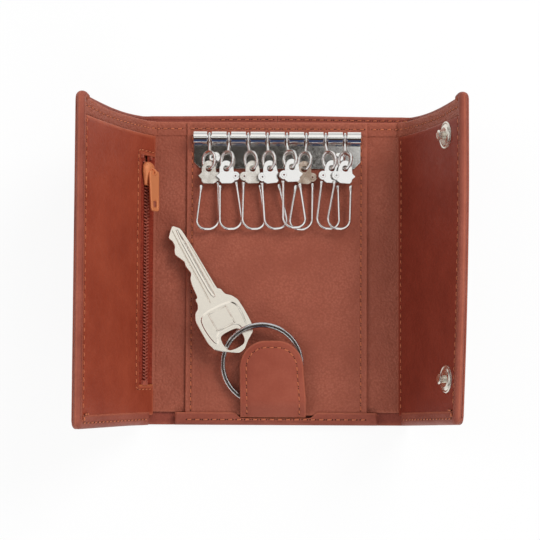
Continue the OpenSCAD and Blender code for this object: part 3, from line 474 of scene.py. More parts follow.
def lean(side, u, v):
    """How the wings lie in their own planes: top edges sag between crease and free edge, and the
    right wing's lower corner is drawn in and up."""
    across = np.clip(u / WING_L, 0, 1)
    v2 = v - np.sin(math.pi * across) * soft_step(v, SAG_FROM, SAG_TO)
    if side < 0:
        return u + 0 * v, v2
    low = np.clip((SAG_FROM - v) / (SAG_FROM + HALF_H), 0, 1.02) ** 1.6
    v2 = v2 + CORNER_UP * across * soft_step(v, LIFT_FROM, LIFT_TO)
    return u * (1 - CORNER_IN_SHARE * low * (u > 0)), v2


def wing(side):
    a = RISE[side]

    def place(u, v, w):
        u, v = lean(side, u, v)
        x = CREASE + u * math.cos(a) - w * math.sin(a)
        z = STRIP_Z + u * math.sin(a) + w * math.cos(a)
        return np.stack([side * x, v + 0 * x, z], -1)
    return place


def path_place(side, path, wing_start, wing_end, extra=0.0):
    """Sheet that follows path(s, v) in the X-Z plane, its height measured across the path."""
    def place(s, v, h):
        t = (s - wing_start) / (wing_end - wing_start) * WING_L
        u2, v2 = lean(side, t, v)
        s = s + np.where(t > 0, u2 - t, 0)
        sag = np.sin(math.pi * np.clip(t / WING_L, 0, 1))
        sag = sag + 0.5 * soft_step(s, 0, CREASE) * (1 - soft_step(t, 10, 50))
        v = v2 - extra * sag * soft_step(v, 40, 63)
        x0, z0 = path(s - 0.02, v)
        x1, z1 = path(s + 0.02, v)
        x, z = path(s, v)
        dx, dz = x1 - x0, z1 - z0
        length = np.hypot(dx, dz)
        return np.stack([side * (x - dz / length * h), v + 0 * x, z + dx / length * h], -1)
    return place


# Outer leather: flat back, fold and wing in one sheet for each side
FOLD_R = 4.0


def outer_path(side):
    """The sheet's middle line, its lengths to the tip and to the wing, and where the wing starts."""
    rise = RISE[side]
    a = rise + WEDGE
    tip_x = CREASE + WING_L * math.cos(rise) + STACK_T * math.sin(rise)
    tip_z = STRIP_Z + WING_L * math.sin(rise) - STACK_T * math.cos(rise)
    cz = FOLD_R + SHELL_T
    cx = tip_x + ((cz - tip_z) * math.cos(a) - FOLD_R) / math.sin(a)
    r = FOLD_R + SHELL_T / 2
    s_wing = cx + r * a
    px, pz = cx + r * math.sin(a), cz - r * math.cos(a)
    mx, mz = tip_x + SHELL_T / 2 * math.sin(a), tip_z - SHELL_T / 2 * math.cos(a)

    def path(s, v):
        b = np.clip((s - cx) / r, 0, a)
        x = np.where(s < cx, s, cx + r * np.sin(b))
        z = np.where(s < cx, SHELL_T / 2, cz - r * np.cos(b))
        t = np.maximum(s - s_wing, 0)
        return x + t * math.cos(a), z + t * math.sin(a)
    return path, s_wing + math.hypot(mx - px, mz - pz), s_wing, (px, pz)


# The snap sockets sit on the left wing's outside, over two small wells in the leather
SOCKET_R = 4.2
WELL_DEPTH = 1.3
socket_low, socket_high = (np.array(c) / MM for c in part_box("snap_sockets"))
socket_mid = (socket_low + socket_high) / 2
socket_path, _, socket_wing, socket_joint = outer_path(-1)
socket_a = RISE[-1] + WEDGE
SOCKET_S = (socket_wing - (socket_mid[0] + socket_joint[0]) * math.cos(socket_a)
            + (socket_mid[2] - socket_joint[1]) * math.sin(socket_a))
SOCKET_YS = (socket_low[1] + SOCKET_R, socket_high[1] - SOCKET_R)


def socket_well(s, v):
    near = np.minimum(*(np.hypot(s - SOCKET_S, v - y) for y in SOCKET_YS))
    return WELL_DEPTH * (1 - soft_step(near, 2.1, 2.7))


for side in (-1, 1):
    path, s_tip, s_wing, joint = outer_path(side)
    ends = (Vector((side * 44.0, 0, 0.5)) * MM, Vector((side * joint[0], 0, joint[1])) * MM)
    place = path_place(side, path, CREASE + 2.0, s_tip, 0.9)
    # The free edge runs just inside the turned leather
    round_socket = (-2.6, -1.3, 0, 1.3, 2.6) if side < 0 else ()
    us = spread(0, s_tip - 0.9, 1.6, (s_wing, *(SOCKET_S + d for d in round_socket)))
    vs = spread(-HALF_H, HALF_H, 1.6, (OUTER_LINE, *(y + d for y in SOCKET_YS for d in round_socket)))

    def top(u, v):
        slack = ripples(u, v, 0.05, 0.21, 0.13, side) * soft_step(HALF_H - v, 0, 4)
        return SHELL_T / 2 + groove(v, OUTER_LINE, 0.1, 0.35) + slack + (side < 0) * socket_well(u, v)

    def low(u, v):
        return -SHELL_T / 2 + 0.04 + 0.06 * soft_step(u, 50, 60) + (side < 0) * socket_well(u, v)
    obj = panel(f"outer_{SIDE_NAME[side]}", us, vs, place, top, low, "outer", 0.45, 0.4, (0, 3.2, 0, 3.5))
    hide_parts(f"shell_{SIDE_NAME[side]}_wing", f"fold_{SIDE_NAME[side]}", "shell_back")
    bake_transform(obj)
    run = line(place, top, (1.0, OUTER_LINE), (24.0 if side < 0 else s_tip - 4.5, OUTER_LINE), 160)
    stitches(f"outer_stitches_{SIDE_NAME[side]}", [run], blend=("back", BODY[side], *ends),
             pitch=3.1, seed=3 + side, thick=0.2)


# Turned edges: outer leather folded over round the free edge and along the bottom
CORNER_R = 3.5
FLAP_W = 2.9
BORDER_W = HALF_H + BORDER_TOP


def rim(name, outline, inward, flap, low_h, place, top_h, seat=0.04, roll=1.7):
    """Sweeps a folded edge along an outline. flap and low_h hold one value a point."""
    verts, near = [], []
    for (u, v), (nu, nv), f, lh in zip(outline, inward, flap, low_h):
        half, mid = (top_h - lh) / 2, (top_h + lh) / 2
        r = min(roll, half + 0.4)
        profile = [(f, seat, 0.0), (f, top_h - 0.3, 0.1), (f - 0.12, top_h - 0.08, 0.3),
                   (f - 0.4, top_h, 0.6), (f - 1.1, top_h + 0.02, 1.2)]
        for t in (0.75, 0.45, 0.15):
            profile.append((r + (f - 1.5 - r) * t, top_h + 0.03 * math.sin(3.1 * t), 2.0))
        for x, y in arc(0, 0, 1, 90, -90, 11):
            profile.append((r - r * abs(x) ** 0.85, mid + half * y, 0.5 + 1.2 * abs(y)))
        profile += [(r + 1.4, lh + 0.02, 3.0), (r + 1.5, lh + 0.3, 3.0)]
        inset, height, worn = np.array(profile).T
        points = place(u + nu * inset, v + nv * inset, height)
        # No point reaches below the table
        points[:, 2] = np.maximum(points[:, 2], 0.01)
        verts.append(points)
        near.append(worn)
    faces = tube_faces(len(verts), len(profile))
    return new_mesh(name, np.concatenate(verts), faces, "turned", np.concatenate(near))


for side in (-1, 1):
    u_in, v_in = WING_L - CORNER_R, HALF_H - CORNER_R
    pts = [(u, -HALF_H) for u in np.linspace(5.2, u_in, 46)] + arc(u_in, -v_in, CORNER_R, -90, 0, 14)[1:]
    inw = [(0, 1)] * 46 + arc(0, 0, -1, -90, 0, 14)[1:]
    pts += [(WING_L, v) for v in np.linspace(-v_in, v_in, 90)[1:]]
    pts += arc(u_in, v_in, CORNER_R, 0, 90, 13)[1:]
    inw += [(-1, 0)] * 89 + arc(0, 0, -1, 0, 90, 13)[1:]
    arm = np.linspace(u_in - 0.4, WING_L - 5.6, 5)
    pts += [(u, HALF_H - 0.7 * soft_step(u, arm[0], arm[-1])) for u in arm]
    inw += [(0, -1)] * len(arm)
    flap, low_h = [], []
    for (u, v), (nu, nv) in zip(pts, inw):
        narrow = 0.9 * soft_step(u, WING_L, WING_L - 6.2) * (v > 0)
        turning = nv > 0 or nu < -0.99
        flap.append(BORDER_W + (FLAP_W - BORDER_W) * abs(nu) if turning else FLAP_W - narrow)
        full = -STACK_T - SHELL_T - (WING_L - u) * math.tan(WEDGE) + 0.75 * (nu < -0.9)
        low_h.append(-1.2 + (full + 1.2) * soft_step(u, 6, 20))
    obj = rim(f"turned_edge_{SIDE_NAME[side]}", pts, inw, flap, low_h, wing(side), top_h=0.34)
    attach(obj, BODY[side])

# The back's turned border is lower under the tab
xs = np.concatenate([np.linspace(-41, -18, 24), np.linspace(-17.5, 17, 50), np.linspace(18, 41, 24)])
dip = soft_step(xs, -17.5, -13.5) * (1 - soft_step(xs, 13.5, 17))
obj = rim("bottom_border", [(x, -HALF_H) for x in xs], [(0, 1)] * len(xs), BORDER_W - 2.3 * dip, 0 * xs,
          flat, top_h=PANEL_Z + 0.65, seat=PANEL_Z + 0.04, roll=1.6)
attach(obj, "back")
stitches("border_stitches", [line(flat, level(PANEL_Z + 0.66), (-36.8, -61.3), (36.8, -61.1), 120)],
         ride="back", pitch=3.3, seed=9)


# Lining: strip beside the key panel, crease, and up the wing behind the pocket
LINING_W = -1.8


def lining_path(side):
    a = RISE[side]

    def path(s, v):
        u = s - CREASE
        behind = (v > ZIP_LOW - 2) & (v < ZIP_HIGH + 2) & (side < 0)
        w = LINING_W * np.where(behind, soft_step(u, -0.6, 2.0), soft_step(u, 0.6, 5.2))
        k = soft_step(u, -0.5, 0.5)
        wx = CREASE + u * math.cos(a) - w * math.sin(a)
        wz = STRIP_Z + u * math.sin(a) + w * math.cos(a)
        return s * (1 - k) + wx * k, STRIP_Z * (1 - k) + wz * k
    return path


for side in (-1, 1):
    lie = path_place(side, lining_path(side), CREASE, CREASE + WING_L)

    def place(s, v, h):
        """The lining's top edge climbs a little towards the free edge."""
        return lie(s, v + 1.4 * soft_step(s, CREASE + 38, CREASE + 62) * soft_step(v, 52, LINING_TOP), h)
    us = spread(34.0, CREASE + 64.2, 1.4, (CREASE, CREASE - 0.5, CREASE + 0.5, CREASE + 2))
    vs = spread(BORDER_TOP, LINING_TOP, 1.3, (BAND_LOW, LINING_LINE, ZIP_LOW - 2, ZIP_HIGH + 2))

    def top(u, v):
        band = 0.45 * soft_step(v, BAND_LOW - 0.12, BAND_LOW + 0.12)
        pleat = 0.42 * np.maximum(np.sin(u * 2 * math.pi / 1.75 + 0.8 * np.sin(u)), -0.6)
        pleat = pleat * (1 - soft_step(v, BORDER_TOP + 0.4, BORDER_TOP + 2.6)) * (u < CREASE - 1)
        wave = ripples(u, v, 0.05, 0.5, 0.16, 2 + side) * soft_step(BAND_LOW - v, 0, 5)
        return band + pleat + wave * (u < CREASE - 1.5) + groove(v, LINING_LINE, 0.12, 0.35)
    obj = panel(f"lining_{SIDE_NAME[side]}", us, vs, place, top, level(-0.55), "panel", 0.35, 0.1,
                (0, 1.5, 0, 2))
    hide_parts(f"{SIDE_NAME[side]}_wing_lining", f"lining_fold_{SIDE_NAME[side]}", "back_lining")
    a = RISE[side]
    ends = (Vector((side * (CREASE - 2.0), 0, STRIP_Z)) * MM,
            Vector((side * (CREASE + 6 * math.cos(a)), 0, STRIP_Z + 6 * math.sin(a))) * MM)
    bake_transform(obj)
    run = line(place, top, (38.5, LINING_LINE), (CREASE + 61, LINING_LINE), 200)
    stitches(f"lining_stitches_{SIDE_NAME[side]}", [run], blend=("back", BODY[side], *ends), pitch=3.0,
             seed=20 + side)


# Key panel with its turned edges and stitch lines
HEM_U = (33.2, 33.8)


def key_top(u, v):
    x = np.abs(u)
    hem = 0.12 * soft_step(x, *HEM_U)
    pad = 0.08 * soft_step(33.0 - x, 0, 5) * soft_step(v, -56, -50)
    band = 0.08 * soft_step(v, BAND_LOW - 0.3, BAND_LOW + 0.3)
    wave = ripples(u, v, 0.03, 0.17, 0.12, 0.4)
    lines = sum(groove(u, at, 0.2, 0.45) for at in PANEL_SIDES)
    lines = lines + groove(v, PANEL_LINE, 0.14, 0.4) * (x < 33.6)
    return PANEL_Z - 0.1 + hem + pad + wave + band + lines


def key_low(u, v):
    return STRIP_Z + 0.5 * (v > BAND_LOW - 0.2) + 0 * u


us = spread(-PANEL_HALF, PANEL_HALF, 1.3, (*PANEL_SIDES, -33.4, 33.4))
vs = spread(PANEL_LOW, LINING_TOP - 0.1, 1.3, (PANEL_LINE, BAND_LOW))
obj = panel("key_panel_leather", us, vs, flat, key_top, key_low, "panel", 0.5, 0.1, (0, 0, 0.6, 0.6))
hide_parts("key_panel", "panel_board")
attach(obj, "back")
runs = [line(flat, key_top, (u, 55.2), (u, -58.0), 90) for u in PANEL_SIDES]
runs.append(line(flat, key_top, (-36.4, PANEL_LINE), (36.4, PANEL_LINE), 60))
stitches("key_panel_stitches", runs, ride="back", pitch=3.2, seed=40)


# Pocket panels. The left one has the opening of the zip, with a stitch line round it
ZIP_OPEN_U = 13.4
ZIP_SIDE = ZIP_OPEN_U + 3.0
NEAR_LINE = 3.3
FAR = 9.0
low_v, high_v = ZIP_LINES
for side in (-1, 1):
    place = wing(side)
    stitch_u = 60.6 if side < 0 else 60.9

    def top(u, v):
        wave = ripples(u, v, 0.07, 0.11, 0.07, 0.9 * side) + ripples(u, v, 0.025, 0.4, 0.23, side)
        belly = (0.25 if side > 0 else -0.2) * np.sin(np.clip((u - 3) / 56, 0, 1) * math.pi)
        belly = belly * np.sin(np.clip((v + 58) / 112, 0, 1) * math.pi)
        h = wave * soft_step(POCKET_TOP - v, 0, 6) * soft_step(stitch_u - u, 0, 5) + belly
        h = h + groove(u, stitch_u, 0.22, 0.5)
        if side > 0:
            return (h + groove(u, NEAR_LINE, 0.2, 0.5)) * soft_step(u, -0.5, 3)
        # The line round the zip has one long side and two ends; FAR lifts what lies past a corner
        to_side = np.abs(u - ZIP_SIDE) + FAR * ((v > high_v + 0.3) | (v < low_v - 0.3))
        to_ends = np.minimum(np.abs(v - high_v), np.abs(v - low_v)) + FAR * (u > ZIP_SIDE)
        return (h + groove(np.minimum(to_side, to_ends), 0, 0.16, 0.45)) * soft_step(u, -0.5, 3)
    us = spread(0.9, 63.0, 1.3, (stitch_u, ZIP_SIDE if side < 0 else NEAR_LINE))
    vs = spread(PANEL_LOW, POCKET_TOP, 1.3, (ZIP_LOW, ZIP_HIGH, *ZIP_LINES) if side < 0 else ())
    hole = (-1.0, ZIP_OPEN_U, ZIP_LOW, ZIP_HIGH) if side < 0 else None
    if hole:
        us, vs = np.unique([*us, ZIP_OPEN_U]), np.unique([*vs, ZIP_LOW, ZIP_HIGH])
    # The right pocket's darker hide is painted shade, not a darker leather
    obj = panel(f"pocket_{SIDE_NAME[side]}", us, vs, place, top, level(-0.75),
                "smooth" if side < 0 else "dark", 0.38, 0.1, (0.8, 1.5, 0.4, 0.3), hole)
    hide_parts(f"{SIDE_NAME[side]}_pocket_panel")
    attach(obj, BODY[side])

    on_rim = level(0.38)
    runs = [line(place, top, (stitch_u, POCKET_TOP - 0.6), (stitch_u, -56.2), 90),
            line(place, on_rim, (62.0 if side < 0 else 60.8, -61.2), (7.0, -61.2), 70)]
    if side < 0:
        runs.append(stitch_path(place, top, [(1.6, high_v), (ZIP_SIDE, high_v), (ZIP_SIDE, low_v),
                                             (2.2, low_v)]))
    else:
        runs.append(line(place, top, (NEAR_LINE, POCKET_TOP - 0.8), (NEAR_LINE, -57.2), 90))
    stitches(f"wing_stitches_{SIDE_NAME[side]}", runs, ride=BODY[side], pitch=3.1, seed=50 + side)
    corner = [line(place, on_rim, (stitch_u + 0.1, -58.4), (stitch_u + 0.2, -61.2), 6),
              line(place, on_rim, (stitch_u - 3.6, -57.9), (stitch_u - 0.4, -58.0), 6)]
    stitches(f"corner_stitches_{SIDE_NAME[side]}", corner, ride=BODY[side], pitch=1.9, seed=60 + side,
             thick=0.36)


# Zip: woven tapes, coil, and raw leather edge at the lower end of the opening
ZIP_MID = ZIP_U - 0.6
CORD_U = 2.75
COIL_PITCH = 1.3
left = wing(-1)
left_up = left(0, 0, 1) - left(0, 0, 0)


def zip_gap(v):
    return 0.03 + 1.45 * soft_step(v, SLIDER_Y + 0.5, SLIDER_Y + 4.5)


def tape_top(u, v):
    cord = 0.22 * np.exp(-((u - CORD_U) / 0.35) ** 2)
    return -0.62 + cord + 0.05 * np.sin(v * 2 * math.pi / 1.1) * (u > 2.4)


for s, letter, reach in ((-1, "a", 7.4), (1, "b", 8.4)):
    def tape_place(u, v, h):
        return left(ZIP_MID + s * (u + zip_gap(v)), v, h)
    vs = spread(ZIP_LOW - 1.4, ZIP_HIGH + 1.4, 0.55)
    obj = panel(f"zip_tape_{letter}", spread(0, reach, 0.6, (CORD_U,)), vs, tape_place, tape_top,
                level(-1.1), "tape", 0.15, 0.1, worn=False)
    if s < 0:
        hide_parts("zip_tapes")
    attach(obj, "left_wing")


def capsule(p, q, r, bow, n, ring=6):
    """A rounded bar from p to q that bows along n."""
    side = np.cross(n, unit(q - p))
    shape = ((0, 0.35), (0.06, 0.8), (0.25, 1), (0.5, 1), (0.75, 1), (0.94, 0.8), (1, 0.35))
    verts = []
    for f, w in shape:
        c = p + (q - p) * f + n * bow * math.sin(math.pi * f)
        verts += circle(c, r * w * side, r * w * n, ring)
    return verts, tube_faces(len(shape), ring)


teeth = []
for k in range(int((ZIP_HIGH - ZIP_LOW - 3.4) / COIL_PITCH)):
    for s in (-1, 1):
        y = ZIP_LOW + 2.2 + (k + (0.5 if s > 0 else 0)) * COIL_PITCH
        outer_end = left(ZIP_MID + s * (2.05 + zip_gap(y)), y + 0.3, -0.2)
        inner_end = left(ZIP_MID + s * (zip_gap(y) - 0.32), y - 0.22, -0.12)
        teeth.append(capsule(outer_end, inner_end, 0.31, 0.16, left_up))
obj = new_mesh("zip_coil_rows", *joined(teeth), "coil", fix=False)
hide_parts("zip_teeth")
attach(obj, "left_wing")

raw_v = ZIP_LOW + np.array([-0.12, 0.1, 0.22])
obj = panel("zip_raw_edge", np.linspace(1.4, ZIP_OPEN_U, 24), raw_v, left,
            lambda u, v: 0.02 + 0.05 * np.sin(u * 2.1), level(-0.5), "raw", 0.08, 0.02, worn=False)
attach(obj, "left_wing")


# Ring tab
RING_Z = 7.03
TAB_X = -1.2
TAB_HALF = 13.3
TAB_R = 11.0
TAB_END = -29.3
TAB_Y = [-61.2, -59.1, -57.2, -54.0, -49.5, -43.5, -36.5, -29.0]
TAB_Z = [3.35, 3.45, RING_Z - 2.1, RING_Z + 0.2, RING_Z + 0.6, RING_Z + 1.05, RING_Z + 1.75, RING_Z + 2.45]


def tab_lie(v):
    """Height of the tab's underside, smoothed between the heights of the solid."""
    return sum(wt * np.interp(v + off, TAB_Y, TAB_Z) for off, wt in ((-1.2, 0.2), (0, 0.6), (1.2, 0.2)))


def tab_place(u, v, h):
    narrow = soft_step(v, -56, -38)
    u = TAB_X + (u - TAB_X) * (1 - 0.035 * narrow) - 0.7 * narrow
    slope = (tab_lie(v + 0.3) - tab_lie(v - 0.3)) / 0.6
    k = 1 / np.sqrt(1 + slope ** 2)
    droop = 0.35 * (np.abs(u - TAB_X) / TAB_HALF) ** 3
    return np.stack([u, v - h * slope * k, tab_lie(v) + h * k - droop * soft_step(v, -58, -48)], -1)


def tab_top(u, v):
    # d is the distance from the tab's outline
    x = np.abs(u - TAB_X) - (TAB_HALF - TAB_R)
    y = v - (TAB_END - TAB_R)
    d = TAB_R - np.where((x > 0) & (y > 0), np.hypot(x, y), np.maximum(x, y))
    pad = 0.22 * soft_step(d, 2.9, 5.5)
    return 1.28 + pad + groove(d, TAB_INSET, 0.22, 0.45) + ripples(u, v, 0.03, 0.4, 0.3, 0.2)


near_edge = np.array([0, 0.05, 0.12, 0.22, 0.35, 0.5, 0.7, 0.95, 1.3, 1.7, 2.1, 2.4, 2.55, 2.7, 2.85, 3.0,
                      3.3, 3.8, 4.5, 5.4])
half = np.concatenate([TAB_HALF - near_edge, np.linspace(7.0, 0.7, 8)])
us = TAB_X + np.concatenate([-half, [0], half[::-1]])
depth = np.concatenate([near_edge, [6.6, 8, 9.5, 11, 12.4, 13.3]])
vs = np.concatenate([np.linspace(-60.2, TAB_END - 14.2, 22), (TAB_END - depth)[::-1]])
obj = panel("ring_tab", us, vs, tab_place, tab_top, level(0.02), "tab", 0.55, 0.35,
            (0.2, 0.2, TAB_R, TAB_R))
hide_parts("tab_front", "tab_back")
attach(obj, "tab")
along = [(TAB_X - TAB_HALF + TAB_INSET, -58.6)]
for sign, start, end in ((-1, 180, 90), (1, 90, 0)):
    along += arc(TAB_X + sign * (TAB_HALF - TAB_R), TAB_END - TAB_R, TAB_R - TAB_INSET, start, end, 16)
along.append((TAB_X + TAB_HALF - TAB_INSET, -58.6))
stitches("tab_stitches", [stitch_path(tab_place, tab_top, along, 0)], ride="tab", pitch=3.05, seed=70)


# Wires swept along their middle lines, and rings turned from a profile
def tube(points, radii, flat_side, squeeze=None, ring=10):
    """A round wire. Where squeeze is below one it is flattened along flat_side."""
    tangents = np.gradient(points, axis=0)
    verts = []
    for k, (p, t, r) in enumerate(zip(points, tangents, radii)):
        t = unit(t)
        n = unit(flat_side - t * (flat_side @ t))
        q = 1.0 if squeeze is None else squeeze[k]
        verts += circle(p, r * np.cross(t, n), r * q * n, ring)
    return verts, tube_faces(len(points), ring)


def turned(profile, place, count):
    """A ring whose profile, of radii and heights, goes round in count steps."""
    verts = []
    for a in 2 * math.pi * np.arange(count) / count:
        verts += [place(r * math.cos(a), r * math.sin(a), h) for r, h in profile]
    return verts, bands(count, len(profile), loop=True)


# Gates of the hooks: one smooth wire each, flattened at both ends
HOOKS = 8
HOOK_PITCH = 7.9
ROD_Y, ROD_Z = 53.4, 5.9
STEM_L = 10.1
STEM_BENDS = [-1.6, -5.7, 10.2, 5.6, 11.5, -5.1, 14, 0]
STEM_LIFTS = [2.3, 3.6, 2.3, 6.2, 14.2, 2.3, 5.8, 8.8]
HEAD_LEANS = [0, 2.3, 2.7, 7.5, 3.8, -3, -1.7, -3]
EAR_SIDES = [1, 1, -1, -1, -1, 1, -1, -1]
PIVOT = (3.6, -3.1)
GATE_LOW = -24.6
GATE_SPAN = (-2.75, 6.35)
GATE_R = 3.9
# How far the low end of each gate hangs to the right, in its slack eyelet
GATE_SWAY = [-2.2, -0.6, 1.8, 2.0, 1.9, -2.1, 1.4, 0.6]
# The small disc that carries the wire inside the head's ear
EYELET = ((0.92, -0.24), (1.45, -0.24), (1.45, 0.24), (0.92, 0.24))


def head_frame(i):
    """Place of a hook's head and the turn from its own axes to the case's."""
    bend, lift = math.radians(STEM_BENDS[i]), math.radians(STEM_LIFTS[i])
    reach = 2.7 + STEM_L * math.cos(bend)
    x = (i - (HOOKS - 1) / 2) * HOOK_PITCH + STEM_L * math.sin(bend)
    at = Vector((x, ROD_Y - reach * math.cos(lift), ROD_Z + reach * math.sin(lift)))
    turn = Matrix.Rotation(math.radians(11), 3, "Y") @ Matrix.Rotation(math.radians(1.6), 3, "X")
    return at, turn @ Matrix.Rotation(math.radians(HEAD_LEANS[i]), 3, "Z")


def gate_line():
    """Middle line of a gate from its ear, round the bottom, to its free end under the head."""
    x0, x1 = GATE_SPAN
    corners = [(PIVOT[0] + 0.35, -5.4), *arc(x1 - GATE_R, GATE_LOW + GATE_R, GATE_R, 4, -90, 22),
               *arc(x0 + GATE_R, GATE_LOW + GATE_R, GATE_R, -90, -177, 22), (x0, -6.5)]
    out = [np.array(corners[0])]
    for q in np.array(corners[1:]):
        p = out[-1]
        steps = max(1, int(np.linalg.norm(q - p) / 0.5))
        out += [p + (q - p) * k / steps for k in range(1, steps + 1)]
    return np.array(out)


middle = gate_line()
from_ear = run_of(middle)
to_tip = from_ear[-1] - from_ear
radii = 0.56 + 0.26 * soft_step(to_tip, 3.4, 0.9) + 0.2 * soft_step(from_ear, 2.6, 0.3)
radii = radii * np.sqrt(np.clip((to_tip + 0.12) / 0.75, 0.05, 1))
squeeze = 1 - 0.45 * soft_step(to_tip, 3.0, 1.0) - 0.35 * soft_step(from_ear, 2.0, 0.3)
for i in range(HOOKS):
    at, turn = head_frame(i)

    def hook_place(x, y, z=0.0):
        return np.array(at + turn @ Vector((x, y, z)))

    def ear_place(x, y, z):
        return hook_place(EAR_SIDES[i] * (PIVOT[0] + x), PIVOT[1] + y, z)
    hang = GATE_SWAY[i] * np.clip((-middle[:, 1] - 5) / 19, 0, 1)
    wire = np.array([hook_place(EAR_SIDES[i] * x + d, y) for (x, y), d in zip(middle, hang)])
    parts = (tube(wire, radii, np.array(turn @ Vector((0, 0, 1))), squeeze), turned(EYELET, ear_place, 20))
    obj = new_mesh(f"gate_wire_{i + 1}", *joined(parts), "nickel")
    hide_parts(f"hook_gate_{i + 1}")
    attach(obj, f"gate_{i + 1}")


# Snap sockets, turned from sheet with a rounded lip
LIP = ((2.4, 0.3), (2.4, 1.1), (2.55, 1.35), (2.9, 1.45), (3.4, 1.4), (3.85, 1.15), (4.15, 0.8),
       (SOCKET_R, 0.3))
mid_x, mid_z = (float(c) for c in socket_path(SOCKET_S, 0.0))
parts = []
for y0 in SOCKET_YS:
    def socket_place(x, y, h):
        return (-(mid_x + x * math.cos(socket_a) + h * math.sin(socket_a)), y0 + y,
                mid_z + x * math.sin(socket_a) - h * math.cos(socket_a))
    parts.append(turned(LIP, socket_place, 48))
obj = new_mesh("socket_rings", *joined(parts), "snap")
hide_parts("snap_sockets")
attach(obj, "left_wing")


# Zip slider with its domed crown, and the pull that hangs from it
SLIDER_L, SLIDER_W = 9.8, 7.8
SLIDER_LOW = -0.25
DOME_LOW, DOME_TOP = 0.15, 2.75
# Half width of the slider's outline, as a share, along its length from the bottom
LEAF_ALONG_SHARES = [0, 0.06, 0.3, 0.5, 0.66, 0.8, 0.9, 0.96, 0.99, 1]
LEAF_WIDTH_SHARES = [0.5, 0.6, 0.78, 0.95, 1, 0.93, 0.74, 0.5, 0.26, 0.06]


def slider_place(r, c, h):
    """r is the share of the slider's length, c runs from -1 to 1 across; the underside is narrower."""
    half_w = np.interp(r, LEAF_ALONG_SHARES, LEAF_WIDTH_SHARES) * SLIDER_W / 2 * np.where(h < 0, 0.92, 1)
    return left(ZIP_U + c * half_w, SLIDER_Y + (r - 0.5) * SLIDER_L, h)


def dome_top(r, c):
    crown = np.sqrt(np.clip(1 - np.abs(c) ** 3.2, 0, 1)) * (0.5 + 0.5 * soft_step(r, 0.1, 0.62))
    crown = crown * np.sqrt(np.clip(1 - (np.clip(r - 0.72, 0, 1) / 0.29) ** 2, 0, 1))
    dip = 0.8 * soft_step(r, -0.05, 0.04) * (1 - soft_step(r, 0.5, 0.6)) * np.exp(-(c / 0.42) ** 4)
    return DOME_LOW + (DOME_TOP - DOME_LOW) * crown - dip


rows = np.concatenate([[0, 0.02], np.linspace(0.06, 0.9, 22), [0.93, 0.96, 0.98, 0.995, 1]])
half = np.array([-1, -0.985, -0.95, -0.88, -0.76, -0.6, -0.4, -0.2])
cols = np.concatenate([half, [0], -half[::-1]])
obj = panel("slider_dome", rows, cols, slider_place, dome_top, level(SLIDER_LOW), "copper", 0, 0)
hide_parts("zip_slider")
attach(obj, "zip_slider")

PULL_TOP = SLIDER_Y + 1.1
PULL_TIP = math.radians(20)
PULL_LIE = math.radians(-2.2)
PULL_HALF, PULL_L = 2.8, 16.6
WINDOW = (-1.1, 1.1, -14.9, -12.5)


def pull_place(u, v, h):
    """The pull tips towards the open side; v runs from its top end, downwards."""
    u = u * (1 - 0.2 * np.clip(-v / 16, 0, 1))
    across = u * math.cos(PULL_TIP) + h * math.sin(PULL_TIP)
    rise = h * math.cos(PULL_TIP) - u * math.sin(PULL_TIP)
    return left(ZIP_U + 0.1 + across, PULL_TOP + v, 3.15 + rise + v * math.sin(PULL_LIE))


def pull_top(u, v):
    return 0.45 + 0.12 * np.exp(-((np.abs(u) - 1.9) / 0.45) ** 2)


pull_ends = (0.05, 0.14, 0.28, 0.5)
us = np.unique([*spread(-PULL_HALF, PULL_HALF, 0.5, (), pull_ends), *WINDOW[:2]])
vs = np.unique([*spread(-PULL_L, 0.0, 0.6, (), pull_ends), *WINDOW[2:]])
obj = panel("pull_tag", us, vs, pull_place, pull_top, level(-0.5), "copper", 0.3, 0.3, (1.5,) * 4, WINDOW,
            worn=False)
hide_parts("zip_pull")
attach(obj, "zip_pull")
bow = np.array([left(ZIP_U + 0.2, PULL_TOP + 0.9 - 3.4 * f, 2.3 + 1.9 * math.sin(math.pi * f))
                for f in np.linspace(0, 1, 18)])
obj = new_mesh("slider_bow", *tube(bow, np.full(18, 0.5), left_up), "copper")
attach(obj, "zip_slider")


# Key. Its outline is in shares of its length and of the bow's width, from the hole's end
KEY_HOLE = (-17.58, -29.10, 8.07)
KEY_TURN = (Matrix.Rotation(math.radians(118.7), 3, "Z") @ Matrix.Rotation(math.radians(3.7), 3, "Y")
            @ Matrix.Rotation(math.radians(15), 3, "X"))
KEY_L, BOW_W, KEY_T, HOLE_BACK = 59.0, 20.6, 1.9, 6.08
KEY_SHARES = [
    (0, 0.02), (0.09, 0.42), (0.155, 0.49), (0.25, 0.5), (0.33, 0.5), (0.38, 0.43), (0.4, 0.34),
    (0.43, 0.3), (0.466, 0.3), (0.47, 0.24), (0.565, 0.22), (0.612, 0.185), (0.642, 0.115),
    (0.705, 0.15), (0.735, 0.125), (0.805, 0.23), (0.835, 0.2), (0.86, 0.15), (0.9, 0.145),
    (0.93, 0.19), (0.973, 0.08), (1, -0.005), (0.955, -0.135), (0.81, -0.17), (0.65, -0.19),
    (0.47, -0.21), (0.458, -0.27), (0.412, -0.3), (0.38, -0.41), (0.336, -0.48), (0.262, -0.5),
    (0.149, -0.5), (0.091, -0.445), (0.05, -0.26), (0.007, -0.12)]
# How far in from its outline, and how deep below the key's face, each edge's steps lie
RIM_STEPS = ((0, 0.32), (0.06, 0.12), (0.16, 0.03), (0.3, 0), (0.34, 0))
FIELD_STEPS = ((-0.05, 0), (0, 0), (0.25, 0.08), (0.6, 0.3), (0.75, 0.34), (0.8, 0.34))
HOLE_STEPS = ((-0.3, 0), (-0.25, 0), (-0.1, 0.06), (0, 0.25))
MILLING_STEPS = ((-0.04, 0), (0, 0), (0.09, 0.3), (0.12, 0.34))


def key_place(u, v, h):
    return np.stack([u, v, h + 0 * u], -1) @ np.array(KEY_TURN).T + np.array(KEY_HOLE)


